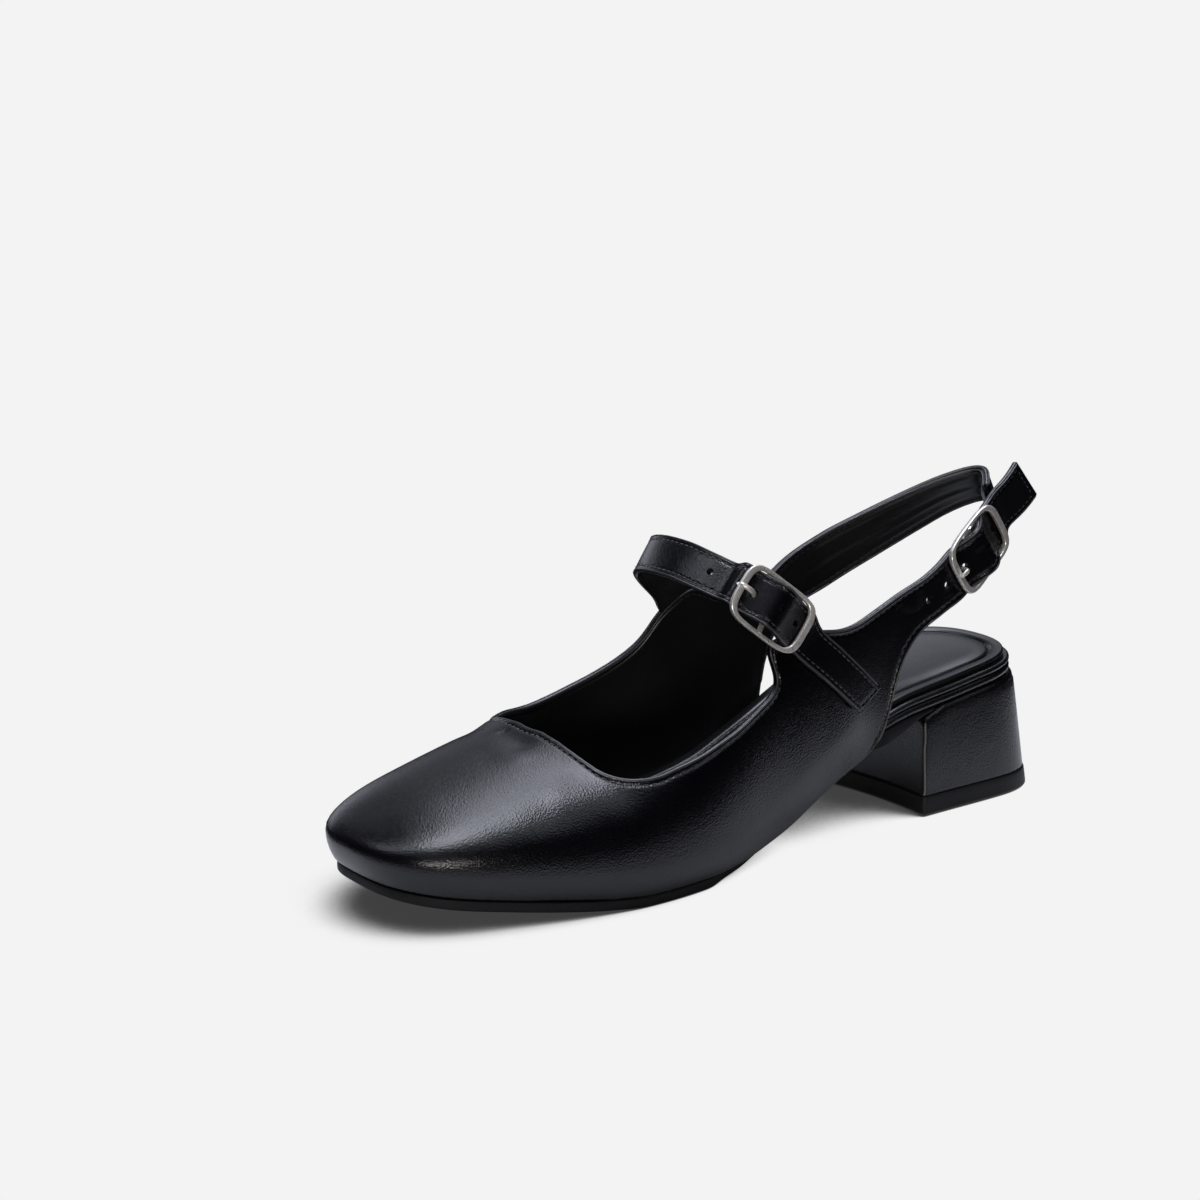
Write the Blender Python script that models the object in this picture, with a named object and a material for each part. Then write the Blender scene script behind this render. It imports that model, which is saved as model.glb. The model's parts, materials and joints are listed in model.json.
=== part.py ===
# Slingback shoe, left foot: low block heel, buckled instep strap, buckled sling.
# Sizes are in millimetres in the tables and become metres when the meshes are made.
# Station s runs from the back of the heel seat (0) to the toe tip (LEN);
# x is positive to the outer side of the foot, z is up, the toe points to -Y.
import math
import bpy
import bmesh
import numpy as np

# ------------------------------------------------------------------ driving sizes
LEN = 245.0          # feather line, heel back to toe tip
Y_BACK = 122.0       # world y of station 0
WALL = 1.8           # upper wall: outer leather, interlining and lining
GAP = 0.3            # clearance between pieces that touch
PIVOT_X = -3.0       # long axis of the forefoot
PIVOT_S = 165.0      # station where the vamp's fan of sections starts
TOE_R = 26.0         # depth of the toe's rounded end
TOE_N = 3.1          # squareness of the toe
TOE_SPRING_OUT = 2.5 # how far the upper bulges past the feather at the tip
SEAT_BACK = 3.0      # back of the heel seat
SEAT_R = 27.0        # depth of the seat's rounded end
SEAT_N = 2.4         # squareness of the seat
HEEL_BACK = -3.0     # back of the heel block at the ground
LIFT_H = 6.2         # top lift height
BREAST = 55.0        # heel breast station
STRAP_T = 1.7        # instep strap thickness
GORE_T = 0.9         # elastic thickness
BAR_R = 0.9          # buckle wire radius
FRAME_A = 11.7       # buckle half length, to the wire's centre
FRAME_B = 8.5        # buckle half width, to the wire's centre
BAR_SINK = 1.0       # centre bar sits this far below the frame
MM = 0.001


# ------------------------------------------------------------------ small curve tools
def spline(x, y):
    """natural cubic through the rows, straight beyond them"""
    x = np.array(x, float); y = np.array(y, float); n = len(x); h = np.diff(x)
    A = np.zeros((n, n)); b = np.zeros(n); A[0, 0] = A[-1, -1] = 1
    for i in range(1, n - 1):
        A[i, i - 1] = h[i - 1]; A[i, i] = 2 * (h[i - 1] + h[i]); A[i, i + 1] = h[i]
        b[i] = 6 * ((y[i + 1] - y[i]) / h[i] - (y[i] - y[i - 1]) / h[i - 1])
    m = np.linalg.solve(A, b)

    def f(q):
        q = np.asarray(q, float); i = np.clip(np.searchsorted(x, q) - 1, 0, n - 2)
        t = q - x[i]; hh = h[i]
        v = y[i] + t * ((y[i + 1] - y[i]) / hh - hh * (2 * m[i] + m[i + 1]) / 6) + t * t * m[i] / 2 + t ** 3 * (m[i + 1] - m[i]) / (6 * hh)
        lo = y[0] + (q - x[0]) * ((y[1] - y[0]) / h[0] - h[0] * m[1] / 6)
        hi = y[-1] + (q - x[-1]) * ((y[-1] - y[-2]) / h[-1] + h[-1] * m[-2] / 6)
        return np.where(q < x[0], lo, np.where(q > x[-1], hi, v))
    return f


def mono(x, y):
    """monotone cubic through the rows, level beyond them"""
    x = np.array(x, float); y = np.array(y, float); h = np.diff(x); d = np.diff(y) / h; n = len(x); m = np.zeros(n)
    for i in range(1, n - 1):
        if d[i - 1] * d[i] > 0:
            a = 2 * h[i] + h[i - 1]; b = h[i] + 2 * h[i - 1]; m[i] = (a + b) / (a / d[i - 1] + b / d[i])
    m[0] = d[0]; m[-1] = d[-1]

    def f(q):
        q = np.clip(np.asarray(q, float), x[0], x[-1]); i = np.clip(np.searchsorted(x, q) - 1, 0, n - 2)
        t = (q - x[i]) / h[i]
        return (y[i] * (1 + 2 * t) * (1 - t) ** 2 + h[i] * m[i] * t * (1 - t) ** 2
                + y[i + 1] * t * t * (3 - 2 * t) + h[i] * m[i + 1] * t * t * (t - 1))
    return f


def step01(v, a, b):
    w = np.clip((np.asarray(v, float) - a) / (b - a), 0, 1)
    return w * w * (3 - 2 * w)


def table(names, rows):
    a = np.array(rows, float)
    return {k: a[:, i] for i, k in enumerate(names)}


# ------------------------------------------------------------------ the last
# feather line plan and heights, a row per station
SOLE = table(('s', 'med', 'lat', 'feather', 'ground'), [
    (0, -24.5, 24.0, 39.8, 38.3),
    (25, -25.5, 25.0, 37.8, 36.4),
    (45, -25.0, 25.2, 35.0, 34.2),
    (51, -24.8, 25.3, 34.3, 33.3),
    (55, -24.6, 25.4, 33.8, 32.3),
    (60, -24.4, 25.6, 33.2, 30.3),
    (65, -24.2, 25.8, 32.3, 28.2),
    (75, -23.8, 26.5, 29.8, 24.9),
    (87, -23.8, 27.3, 25.0, 20.6),
    (100, -24.6, 28.4, 18.6, 15.0),
    (112, -26.6, 30.0, 12.8, 9.4),
    (125, -30.2, 32.2, 7.9, 4.7),
    (137, -33.4, 34.8, 4.3, 1.2),
    (148, -35.7, 36.9, 3.1, 0.0),
    (172, -38.0, 38.2, 3.1, 0.0),
    (184, -37.0, 37.2, 4.2, 1.1),
    (195, -34.8, 35.6, 5.7, 2.6),
    (220, -28.8, 30.0, 9.7, 6.6),
    (245, -21.6, 23.6, 14.0, 11.0)])
# upper body: bulge past the feather, its height over the ground line, ridge height, fullness
BODY = table(('s', 'out', 'up', 'ridge', 'full'), [
    (50, 2.0, 18.5, 130, 2.2),
    (75, 3.0, 19.8, 132, 2.2),
    (100, 4.0, 19.8, 122, 2.2),
    (125, 4.0, 17.3, 99.5, 2.2),
    (150, 4.0, 14.8, 71.5, 2.3),
    (175, 3.7, 13.8, 48.5, 2.5),
    (200, 3.4, 12.9, 40, 2.5),
    (225, 3.0, 12.0, 34, 2.5),
    (245, 2.2, 11.3, 29, 2.5)])
med_x, lat_x = spline(SOLE['s'], SOLE['med']), spline(SOLE['s'], SOLE['lat'])
feather, ground = mono(SOLE['s'], SOLE['feather']), mono(SOLE['s'], SOLE['ground'])
bulge_out, bulge_up = mono(BODY['s'], BODY['out']), mono(BODY['s'], BODY['up'])
ridge, fullness = spline(BODY['s'], BODY['ridge']), mono(BODY['s'], BODY['full'])


def bulge_z(s):
    return ground(s) + bulge_up(s)


def axis_x(s):
    """centre line of the sole: straight at the heel, drifting inward to the toe"""
    return PIVOT_X * step01(s, 60, 150)


def half(s, side, extra):
    """half width from the forefoot axis; extra 0 at the feather, 1 at the bulge"""
    e = extra * bulge_out(s)
    return np.where(side > 0, lat_x(s) + e - PIVOT_X, PIVOT_X - med_x(s) + e)


def toe_close(s, extra):
    return np.maximum(0, (s - (LEN - TOE_R)) / (TOE_R + TOE_SPRING_OUT * extra))


def rho(x, s, extra=1.0):
    """0 on the axis, 1 on the outline"""
    d = x - PIVOT_X
    a = np.abs(d) / half(s, np.where(d >= 0, 1, -1), extra); b = toe_close(s, extra)
    return (a ** TOE_N + b ** TOE_N) ** (1 / TOE_N)


def ray_out(phi, extra=1.0):
    """outline point on the ray from the pivot; phi 0 outer side, 90 toe, 180 inner side"""
    a = np.radians(np.asarray(phi, float)); D = np.stack([np.cos(a), np.sin(a)], -1)
    lo = np.ones(a.shape); hi = np.full(a.shape, 130.0)
    for _ in range(44):
        mid = (lo + hi) / 2
        q = rho(PIVOT_X + D[..., 0] * mid, PIVOT_S + D[..., 1] * mid, extra) < 1
        lo = np.where(q, mid, lo); hi = np.where(q, hi, mid)
    return np.stack([PIVOT_X + D[..., 0] * lo, PIVOT_S + D[..., 1] * lo], -1)


def vamp_z(x, s):
    """height of the upper's outer face over a plan point"""
    r = np.clip(rho(x, s), 0, 1); m = fullness(s); z0 = bulge_z(s)
    return z0 + (ridge(s) - z0) * (1 - r ** m) ** (1 / m)


def low_edge(s):
    """lowest edge of the upper: laps the sole edge at the waist, rests on the sole in front"""
    w = step01(s, 112, 146)
    return (ground(s) + 0.7) * (1 - w) + (feather(s) + GAP) * w


def side_x(s, z, side):
    """outer face of the upper at a station and height"""
    m = fullness(s); z0 = bulge_z(s); t = np.clip((z - z0) / (ridge(s) - z0), 0, 1)
    hi = half(s, side, 1.0) * (1 - t ** m) ** (1 / m)
    q = np.clip((z0 - z) / (z0 - low_edge(s)), 0, 1.2)
    lo = half(s, side, 1.0) - bulge_out(s) * q ** 2
    return PIVOT_X + side * np.where(z > z0, hi, lo)


# ------------------------------------------------------------------ the upper's edges
# straps: bottom edge point and top edge point of each section
OUT_STRAP = table(('bx', 'bs', 'bz', 'tx', 'ts', 'tz'), [
    (17.3, -1.0, 95.5, 19.8, 12.5, 108.0),
    (20.6, 14.0, 85.8, 23.3, 25.0, 97.4),
    (23.9, 26.0, 79.4, 25.8, 35.0, 90.6),
    (26.9, 40.0, 72.8, 28.4, 50.0, 84.0),
    (28.6, 48.5, 69.1, 29.6, 59.5, 80.6),
    (29.5, 56.0, 65.5, 30.1, 68.0, 76.8),
    (29.9, 64.0, 60.3, 30.2, 76.0, 73.0),
    (30.0, 69.5, 53.5, 30.3, 83.0, 70.2),
    (30.0, 73.2, 42.5, 30.4, 90.0, 67.8),
    (29.5, 75.2, 32.5, 30.5, 96.6, 67.2)])
# quarters: bottom station, top station, top height
OUT_QUARTER = table(('bs', 'ts', 'tz', 'lean'), [
    (78.5, 103, 68.2, 0), (88, 110, 68.5, 0), (95.5, 118, 68.5, 0), (102.5, 123.8, 68.0, 24),
    (109, 125.6, 65.4, 46), (114.2, 124.0, 60.5, 46), (119, 123.0, 56.5, 46), (124.4, 125.3, 53.3, 26),
    (131.8, 131.7, 50.0, 6), (140.6, 140.3, 45.9, 0), (149, 148.2, 43.4, 0), (157, 156, 40.8, 0), (165, 165, 38.8, 0)])
IN_QUARTER = table(('bs', 'ts', 'tz'), [
    (165, 165, 38.7), (157, 156.5, 40.4), (149, 148, 43.0), (141, 141, 45.4),
    (133, 134.5, 48.2), (127, 128, 51.8), (122, 122.6, 56.2), (118, 120.0, 60.6),
    (113, 117.6, 64.4), (107, 112.6, 68.4), (100, 107.0, 71.6), (94, 102, 69.0),
    (90.5, 96, 66.6), (86, 89.8, 65.8), (82.6, 84.5, 66.5)])
IN_STRAP = table(('bx', 'bs', 'bz', 'tx', 'ts', 'tz'), [
    (-25.6, 79.7, 32.5, -27.1, 80.5, 68.0),
    (-26.5, 77.4, 42.0, -27.5, 77.0, 69.7),
    (-26.6, 73.2, 51.0, -27.6, 73.5, 71.9),
    (-26.2, 67.6, 57.4, -27.4, 70.0, 74.3),
    (-25.3, 61.5, 60.8, -26.8, 65.5, 77.1),
    (-23.9, 55.5, 63.3, -25.7, 59.5, 80.1),
    (-21.5, 47.5, 67.9, -23.4, 52.8, 83.9),
    (-18.9, 39.5, 72.2, -20.8, 46.0, 87.1),
    (-16.0, 29.5, 77.5, -17.3, 37.5, 91.2),
    (-12.9, 20.5, 82.5, -13.4, 28.5, 95.4),
    (-9.3, 12.8, 87.2, -8.6, 20.3, 99.5),
    (-5.4, 6.6, 90.4, -4.2, 14.6, 102.2),
    (-2.0, 3.0, 92.0, -0.9, 10.8, 103.7),
    (1.2, 1.8, 92.7, 2.2, 9.4, 104.3),
    (4.4, 3.1, 92.4, 5.0, 10.3, 103.9),
    (8.0, 6.6, 90.8, 8.2, 13.0, 102.4),
    (12.2, 11.2, 88.3, 12.2, 17.0, 99.8)])
# topline across the vamp
THROAT = table(('x', 's'), [
    (36.8, 165), (36.5, 168), (35.4, 171.8), (33.4, 176.4), (30.8, 180.1), (27.3, 182.8), (22.3, 184.2), (15.9, 184.7),
    (8, 184.4), (0, 184.1), (-8, 184.0), (-15, 183.6), (-22, 182.6), (-27.5, 180.6), (-31.4, 176.8), (-33.6, 171.5), (-34.6, 165)])


def side_rows(side):
    """edge rows of one side from the strap's end to the fan, as (bottom, top) triples"""
    st, qu = (OUT_STRAP, OUT_QUARTER) if side > 0 else (IN_STRAP, IN_QUARTER)
    b1 = np.stack([st['bx'], st['bs'], st['bz']], -1); t1 = np.stack([st['tx'], st['ts'], st['tz']], -1)
    zb = low_edge(qu['bs'])
    b2 = np.stack([side_x(qu['bs'], zb, side), qu['bs'], zb], -1)
    t2 = np.stack([side_x(qu['ts'], qu['tz'], side), qu['ts'], qu['tz']], -1)
    B, T = (np.concatenate([b1, b2]), np.concatenate([t1, t2])) if side > 0 else (np.concatenate([b2, b1]), np.concatenate([t2, t1]))
    return B, T


class Edges:
    """bottom and top edge curves of one side, by chord length"""
    def __init__(self, side):
        self.side = side
        self.B, self.T = side_rows(side)
        d = np.linalg.norm(np.diff(self.B, axis=0), axis=1) + np.linalg.norm(np.diff(self.T, axis=0), axis=1)
        self.k = np.concatenate([[0], np.cumsum(d / 2)])
        self.fb = [mono(self.k, self.B[:, i]) for i in range(3)]
        self.ft = [mono(self.k, self.T[:, i]) for i in range(3)]
        lean = (OUT_QUARTER if side > 0 else {}).get('lean', np.zeros(0))
        self.lean = mono(self.k, np.concatenate([np.zeros(len(self.k) - len(lean)), lean]))

    def column(self, k, n=70):
        """one section of the outer face, bottom to top"""
        b = np.array([f(k) for f in self.fb]); t = np.array([f(k) for f in self.ft])
        u = np.linspace(0, 1, n)[:, None]
        P = b * (1 - u) + t * u
        P[:, 1] -= self.lean(k) * (u ** 4 * (1 - u))[:, 0]      # sections meet the upright edge squarely
        s, z = P[:, 1], P[:, 2]
        w = step01(s, 62, 96)
        P = P.copy(); P[:, 0] = P[:, 0] * (1 - w) + side_x(np.maximum(s, 50), z, self.side) * w
        return P


_tp = np.degrees(np.arctan2(THROAT['s'] - PIVOT_S, THROAT['x'] - PIVOT_X))
_tr = np.hypot(THROAT['s'] - PIVOT_S, THROAT['x'] - PIVOT_X)
_throat_r = mono(_tp, _tr)
OUTER, INNER = Edges(1), Edges(-1)


def throat_radius(phi):
    """ends match the tops of the two quarters"""
    e0 = OUTER.T[-1][0] - PIVOT_X; e1 = PIVOT_X - INNER.T[0][0]
    r = _throat_r(phi)
    w0 = 1 - step01(phi, 0, 14); w1 = step01(phi, 166, 180)
    return r + (e0 - _tr[0]) * w0 + (e1 - _tr[-1]) * w1


def fan_column(phi, n=70):
    """one section of the vamp on a ray from the pivot, feather to throat"""
    P1 = ray_out(phi, 1.0); P0 = ray_out(phi, 0.0)
    q = np.linspace(1, 0, n // 3)[:, None]
    tuck = P1 + (P0 - P1) * q ** 2
    z = bulge_z(P1[1]) * (1 - q[:, 0]) + low_edge(P0[1]) * q[:, 0]
    a = np.radians(phi); D = np.array([math.cos(a), math.sin(a)])
    R1 = math.hypot(P1[0] - PIVOT_X, P1[1] - PIVOT_S)
    r_end = float(throat_radius(phi)) / R1
    m = 2.4; psi_end = math.acos(min(1.0, r_end) ** (m / 2))
    psi = np.linspace(0, psi_end, n)[1:]
    r = np.cos(psi) ** (2 / m)
    Q = np.array([PIVOT_X, PIVOT_S]) + D * (R1 * r)[:, None]
    zt = vamp_z(Q[:, 0], Q[:, 1])
    return np.concatenate([np.column_stack([tuck, z]), np.column_stack([Q, zt])])


def resample(P, f):
    """points at the fractions f of a curve's length"""
    d = np.concatenate([[0], np.cumsum(np.linalg.norm(np.diff(P, axis=0), axis=1))])
    q = np.asarray(f) * d[-1]
    return np.stack([np.interp(q, d, P[:, i]) for i in range(3)], -1)


# ------------------------------------------------------------------ buckle frames
def unit(v):
    v = np.asarray(v, float)
    return v / np.linalg.norm(v)


def world(P):
    """(x, s, z) in millimetres to world axes in millimetres"""
    P = np.asarray(P, float)
    return np.stack([P[..., 0], Y_BACK - P[..., 1], P[..., 2]], -1)


def frame_axes(centre, along, across):
    """right-handed axes of a buckle in world axes: along the strap, across it, outward"""
    c = world(centre); L = unit(np.array(along) * [1, -1, 1]); S = np.array(across) * [1, -1, 1]
    S = unit(S - L * (S @ L)); N = np.cross(S, L)
    if N[0] < 0:
        N = -N
    return c, L, S, N


INSTEP_FRAME = dict(centre=(30.8, 124.0, 77.4), along=(6.5, -15.8, -13.2), across=(0.7, 9.8, -11.0))
SLING_FRAME = dict(centre=(28.6, 37.4, 84.0), along=(-3.4, -17.4, 11.2), across=(1.0, -10.2, -13.6))


# ==== solids
def outline_half(s, side, inset, back=SEAT_BACK, seat_r=SEAT_R):
    """distance from the sole's axis to its edge, rounded at seat and toe"""
    s = np.asarray(s, float); c = axis_x(s)
    w = np.where(side > 0, lat_x(s) - c, c - med_x(s)) - inset
    hb = np.clip((back + seat_r - s) / (seat_r - inset), 0, 1)
    tb = np.clip((s - (LEN - TOE_R)) / (TOE_R - inset), 0, 1)
    return w * (1 - hb ** SEAT_N) ** (1 / SEAT_N) * (1 - tb ** TOE_N) ** (1 / TOE_N)


def end_rows(n, depth, power, first=0.16):
    """distances from a rounded end, spaced so that its arc is even"""
    a = np.linspace(first, math.pi / 2, n)
    return depth * (1 - np.cos(a) ** (2 / power))


def plate_grid(stations, inset, across, top, bottom, back=SEAT_BACK, seat_r=SEAT_R):
    """two grids of points, a row per station, from the inner edge to the outer edge"""
    A, B = [], []
    for s in stations:
        i = float(inset(s)); c = float(axis_x(s))
        lo = c - float(outline_half(s, -1, i, back, seat_r)); hi = c + float(outline_half(s, 1, i, back, seat_r))
        x = lo + (hi - lo) * across; e = 2 * across - 1
        A.append(np.column_stack([x, np.full(len(x), s), top(s, e)]))
        B.append(np.column_stack([x, np.full(len(x), s), bottom(s, e)]))
    return np.array(A), np.array(B)


ACROSS = 0.5 - 0.5 * np.cos(np.linspace(0, math.pi, 9))
flat = lambda s, e, v: np.full(np.shape(e), float(v))


def sheet_faces(ni, nj):
    """faces of a closed slab made from two ni x nj grids, first grid up"""
    n = ni * nj; F = []
    for i in range(ni - 1):
        for j in range(nj - 1):
            a, b, c, d = i * nj + j, i * nj + j + 1, (i + 1) * nj + j + 1, (i + 1) * nj + j
            F.append((a, b, c, d)); F.append((d + n, c + n, b + n, a + n))
    ring = ([(0, j) for j in range(nj)] + [(i, nj - 1) for i in range(1, ni)]
            + [(ni - 1, j) for j in range(nj - 2, -1, -1)] + [(i, 0) for i in range(ni - 2, 0, -1)])
    ids = [i * nj + j for i, j in ring]
    for p, q in zip(ids, ids[1:] + ids[:1]):
        F.append((q, p, p + n, q + n))
    return F


# ---- sole
def sole_inset(s):
    return 2.4 * step01(s, 71, 78) * (1 - step01(s, 141, 150)) + 0.8 * step01(s, 141, 150)


def board_inset(s):
    return 2.4 * step01(s, 71, 78)


BOARD_TOP = mono([0, 66, 90, 112, 245], [5.2, 5.2, 3.6, 2.4, 2.2])
SOCK_T = mono([0, 60, 110, 245], [2.4, 2.2, 1.5, 1.3])
DISH = mono([0, 25, 60, 100, 150, 245], [1.6, 2.0, 1.6, 1.0, 0.8, 0.8])
seat_rows = SEAT_BACK + end_rows(9, SEAT_R, SEAT_N)
toe_edge = lambda inset: np.concatenate([[212.0], LEN - inset - end_rows(9, TOE_R - inset, TOE_N)[::-1]])
sole_s = np.concatenate([[51, 54, 58, 63, 68, 71, 74, 78, 84, 90, 97, 104, 112, 120, 128, 136, 141, 145, 148, 156, 164, 172, 178, 184, 191, 199, 206], toe_edge(0.8)])
OUTSOLE = plate_grid(sole_s, sole_inset, ACROSS, lambda s, e: flat(s, e, feather(s) - 0.15), lambda s, e: flat(s, e, ground(s)))
board_s = np.concatenate([seat_rows, [36, 43, 50, 58, 66, 71, 74, 78, 84, 91, 100, 110, 122, 135, 148, 160, 172, 184, 195, 205], toe_edge(2.4)])
INSOLE_BOARD = plate_grid(board_s, board_inset, ACROSS,
                          lambda s, e: feather(s) + BOARD_TOP(s) - DISH(s) * (1 - e * e),
                          lambda s, e: flat(s, e, feather(s) + 0.15))
sock_seat = SEAT_BACK + 2.0 + end_rows(9, SEAT_R - 2.0, SEAT_N)
sock_s = np.concatenate([sock_seat, [36, 43, 50, 58, 66, 71, 74, 78, 84, 91, 100, 110, 122, 135, 148, 160, 172, 184, 195, 205], toe_edge(3.6)])
SOCK = plate_grid(sock_s, lambda s: 2.0 + 1.6 * step01(s, 71, 78), ACROSS,
                  lambda s, e: feather(s) + BOARD_TOP(s) - DISH(s) * (1 - e * e) + GAP + SOCK_T(s) * (1 - 0.25 * e ** 4),
                  lambda s, e: feather(s) + BOARD_TOP(s) - DISH(s) * (1 - e * e) + GAP)


# ---- heel
def breast_s(x):
    """front of the heel at the ground: slightly hollow, slanting back to the inner side"""
    u = x / 26.0
    return BREAST + 2.0 - 2.2 * u - 2.6 * (1 - u * u)


def heel_ring(z, inset, n_side=9, n_across=9):
    """plan grid of the heel at a height, back row first"""
    v = np.clip(z / 36.0, 0, 1)
    back = HEEL_BACK + (SEAT_BACK - 1.2 - HEEL_BACK) * v ** 0.9 + inset
    flare = 1.6 * (1 - v) - inset + 0.3
    n = 2.5 + 0.9 * (1 - v)
    rows = np.concatenate([back + end_rows(9, SEAT_R, n), [33.0, 40.0, 46.0, 50.5, BREAST - inset]])
    G = []
    for s in rows:
        hb = np.clip((back + SEAT_R - s) / SEAT_R, 0, 1); k = (1 - hb ** n) ** (1 / n)
        lo = (float(med_x(s)) - flare) * k; hi = (float(lat_x(s)) + flare) * k
        x = lo + (hi - lo) * ACROSS
        w = float(step01(s, 30, BREAST)); ss = s + w * (breast_s(x) - BREAST)
        G.append(np.column_stack([x, ss]))
    return np.array(G)


def heel_grid(z_of, zplan, inset):
    P = heel_ring(zplan, inset)
    return np.concatenate([P, z_of(P[..., 0], P[..., 1])[..., None]], -1)


def block_top(x, s):
    w = step01(s, 45.5, 50.3)
    return (feather(s) - 0.15) * (1 - w) + (ground(s) - GAP) * w


heel_levels = [heel_grid(block_top, 36.0, 0.0), heel_grid(lambda x, s: np.full(x.shape, LIFT_H + GAP), LIFT_H, 0.0)]
HEEL_BLOCK = (heel_levels[0], heel_levels[1])
TOP_LIFT = (heel_grid(lambda x, s: np.full(x.shape, LIFT_H), LIFT_H, -0.35), heel_grid(lambda x, s: np.zeros(x.shape), 0.0, -0.2))

# ---- upper
ROWS = np.array([0, 0.045, 0.10, 0.19, 0.33, 0.5, 0.67, 0.84, 1.0])


def spread(k0, k1, step):
    return np.linspace(k0, k1, max(2, int(round((k1 - k0) / step)) + 1))


def outer_face(u, thick):
    """height of a strap's outer face over the buckle plane"""
    low = -(BAR_R + GAP); high = -BAR_SINK + BAR_R + 0.6 + GORE_T + GAP + thick
    return low + (high - low) * np.cos(np.clip(u / (FRAME_A - 1.6), -1, 1) * math.pi / 2) ** 2


def weave(P, frame, thick, near=1.5, far=9.0, face=0.0, extra=0.0):
    """press a strap's outer face into its path through a buckle: under both end bars, over the centre bar.
    face is the depth of P below the outer face"""
    c, L, S, N = frame_axes(**frame)
    u = (P - c) @ L; v = (P - c) @ S; w = (P - c) @ N
    target = outer_face(u, thick) - face
    k = 1 - step01(np.abs(u), FRAME_A + near, FRAME_A + far)
    k = k * (1 - step01(np.abs(v), 14, 20)) * (1 - step01(np.abs(w), 14, 20))
    room = FRAME_B - BAR_R - GAP - 0.15 + extra
    b, t = v[..., :1], v[..., -1:]
    fit = room * (2 * (v - b) / (t - b) - 1) * np.sign(t - b)
    kf = k + (1 - k) * (1 - step01(np.abs(u), FRAME_A + near, FRAME_A + 24)) * (1 - step01(np.abs(w), 14, 20))
    return P + (((target - w) * k)[..., None]) * N + (((fit - v) * kf)[..., None]) * S


def k_at(E, edge, s):
    """chord-length value where an edge curve passes a row"""
    A = E.B if edge == 'b' else E.T
    return E.k[int(np.argmin(np.abs(A[:, 1] - s)))]


ko = OUTER.k; ki = INNER.k
cols_out = np.concatenate([spread(ko[0], ko[5], 3.0), spread(ko[5], ko[9], 4.5)[1:], spread(ko[9], ko[-1], 6.0)[1:]])
j0 = len(IN_QUARTER['bs'])
cols_in = np.concatenate([spread(ki[0], ki[j0], 6.0), spread(ki[j0], ki[j0 + 9], 5.0)[1:], spread(ki[j0 + 9], ki[-1], 2.6)[1:]])
fan = np.concatenate([np.linspace(0, 42, 8)[1:], np.linspace(42, 138, 23)[1:], np.linspace(138, 180, 8)[1:-1]])
OUT = np.array([world(resample(OUTER.column(k), ROWS)) for k in cols_out]
               + [world(resample(fan_column(p), ROWS)) for p in fan]
               + [world(resample(INNER.column(k), ROWS)) for k in cols_in])
n_strap = len(spread(ko[0], ko[5], 3.0)) + 4
OUT[:n_strap] = weave(OUT[:n_strap], SLING_FRAME, WALL)


def grid_normals(G):
    dk = np.gradient(G, axis=0); dr = np.gradient(G, axis=1)
    N = np.cross(dr, dk)
    return N / np.linalg.norm(N, axis=-1, keepdims=True)


UPPER = (OUT, OUT - grid_normals(OUT) * WALL)

# ---- instep strap: upper edge and lower edge of each section, on the strap's middle
BAND = table(('ux', 'us', 'uz', 'lx', 'ls', 'lz'), [
    (-24.2, 101.0, 64.0, -24.4, 110.8, 56.0),
    (-25.0, 107.0, 71.2, -25.2, 117.0, 62.8),
    (-25.9, 113.5, 77.8, -26.2, 122.5, 69.4),
    (-26.2, 119.3, 83.2, -26.3, 127.5, 74.2),
    (-24.6, 123.9, 87.6, -24.8, 130.8, 77.6),
    (-20.5, 126.8, 90.2, -20.8, 133.3, 79.8),
    (-14.0, 128.6, 91.8, -14.2, 136.3, 81.6),
    (-6.0, 129.4, 92.4, -6.2, 138.0, 82.6),
    (2.0, 130.0, 92.4, 2.0, 138.8, 82.9),
    (9.0, 130.2, 91.6, 9.5, 138.6, 82.0),
    (15.0, 129.2, 90.4, 16.0, 137.8, 81.0),
    (20.0, 127.6, 88.9, 21.2, 136.6, 79.8)])
TAIL = table(('us', 'uz', 'ls', 'lz'), [
    (107.0, 69.9, 115.6, 61.6), (100.0, 64.0, 109.2, 56.6), (92.0, 57.2, 101.4, 50.4), (85.6, 51.7, 95.4, 45.4), (80.4, 47.2, 90.5, 41.4)])


def on_quarter(s, z, lift):
    return np.stack([side_x(s, z, 1) + lift, s, z], -1)


root = WALL + GAP + STRAP_T / 2 + 0.35
for edge in 'ul':
    i = slice(0, 2)
    BAND[edge + 'x'][i] = side_x(BAND[edge + 's'][i], BAND[edge + 'z'][i], -1) + root
bu = world(np.stack([BAND['ux'], BAND['us'], BAND['uz']], -1)); bl = world(np.stack([BAND['lx'], BAND['ls'], BAND['lz']], -1))
lift = GAP + STRAP_T / 2 + 0.15
tu = world(on_quarter(TAIL['us'], TAIL['uz'], lift)); tl = world(on_quarter(TAIL['ls'], TAIL['lz'], lift))
fc, fL, fS, fN = frame_axes(**INSTEP_FRAME)
half_w = 6.3
mid_high = -BAR_SINK + BAR_R + 0.25 + GORE_T + GAP + STRAP_T / 2
mid_low = -(BAR_R + GAP) - STRAP_T / 2
uu = np.linspace(-FRAME_A - 0.9, FRAME_A + 0.9, 15)
ww = outer_face(uu, STRAP_T) - STRAP_T / 2
side_play = 0.7      # the strap lies against the frame's upper side
inu = fc + np.outer(uu, fL) - fS * (half_w + side_play) + np.outer(ww, fN)
inl = fc + np.outer(uu, fL) + fS * (half_w - side_play) + np.outer(ww, fN)
PU = np.concatenate([bu, inu, tu]); PL = np.concatenate([bl, inl, tl])


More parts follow.
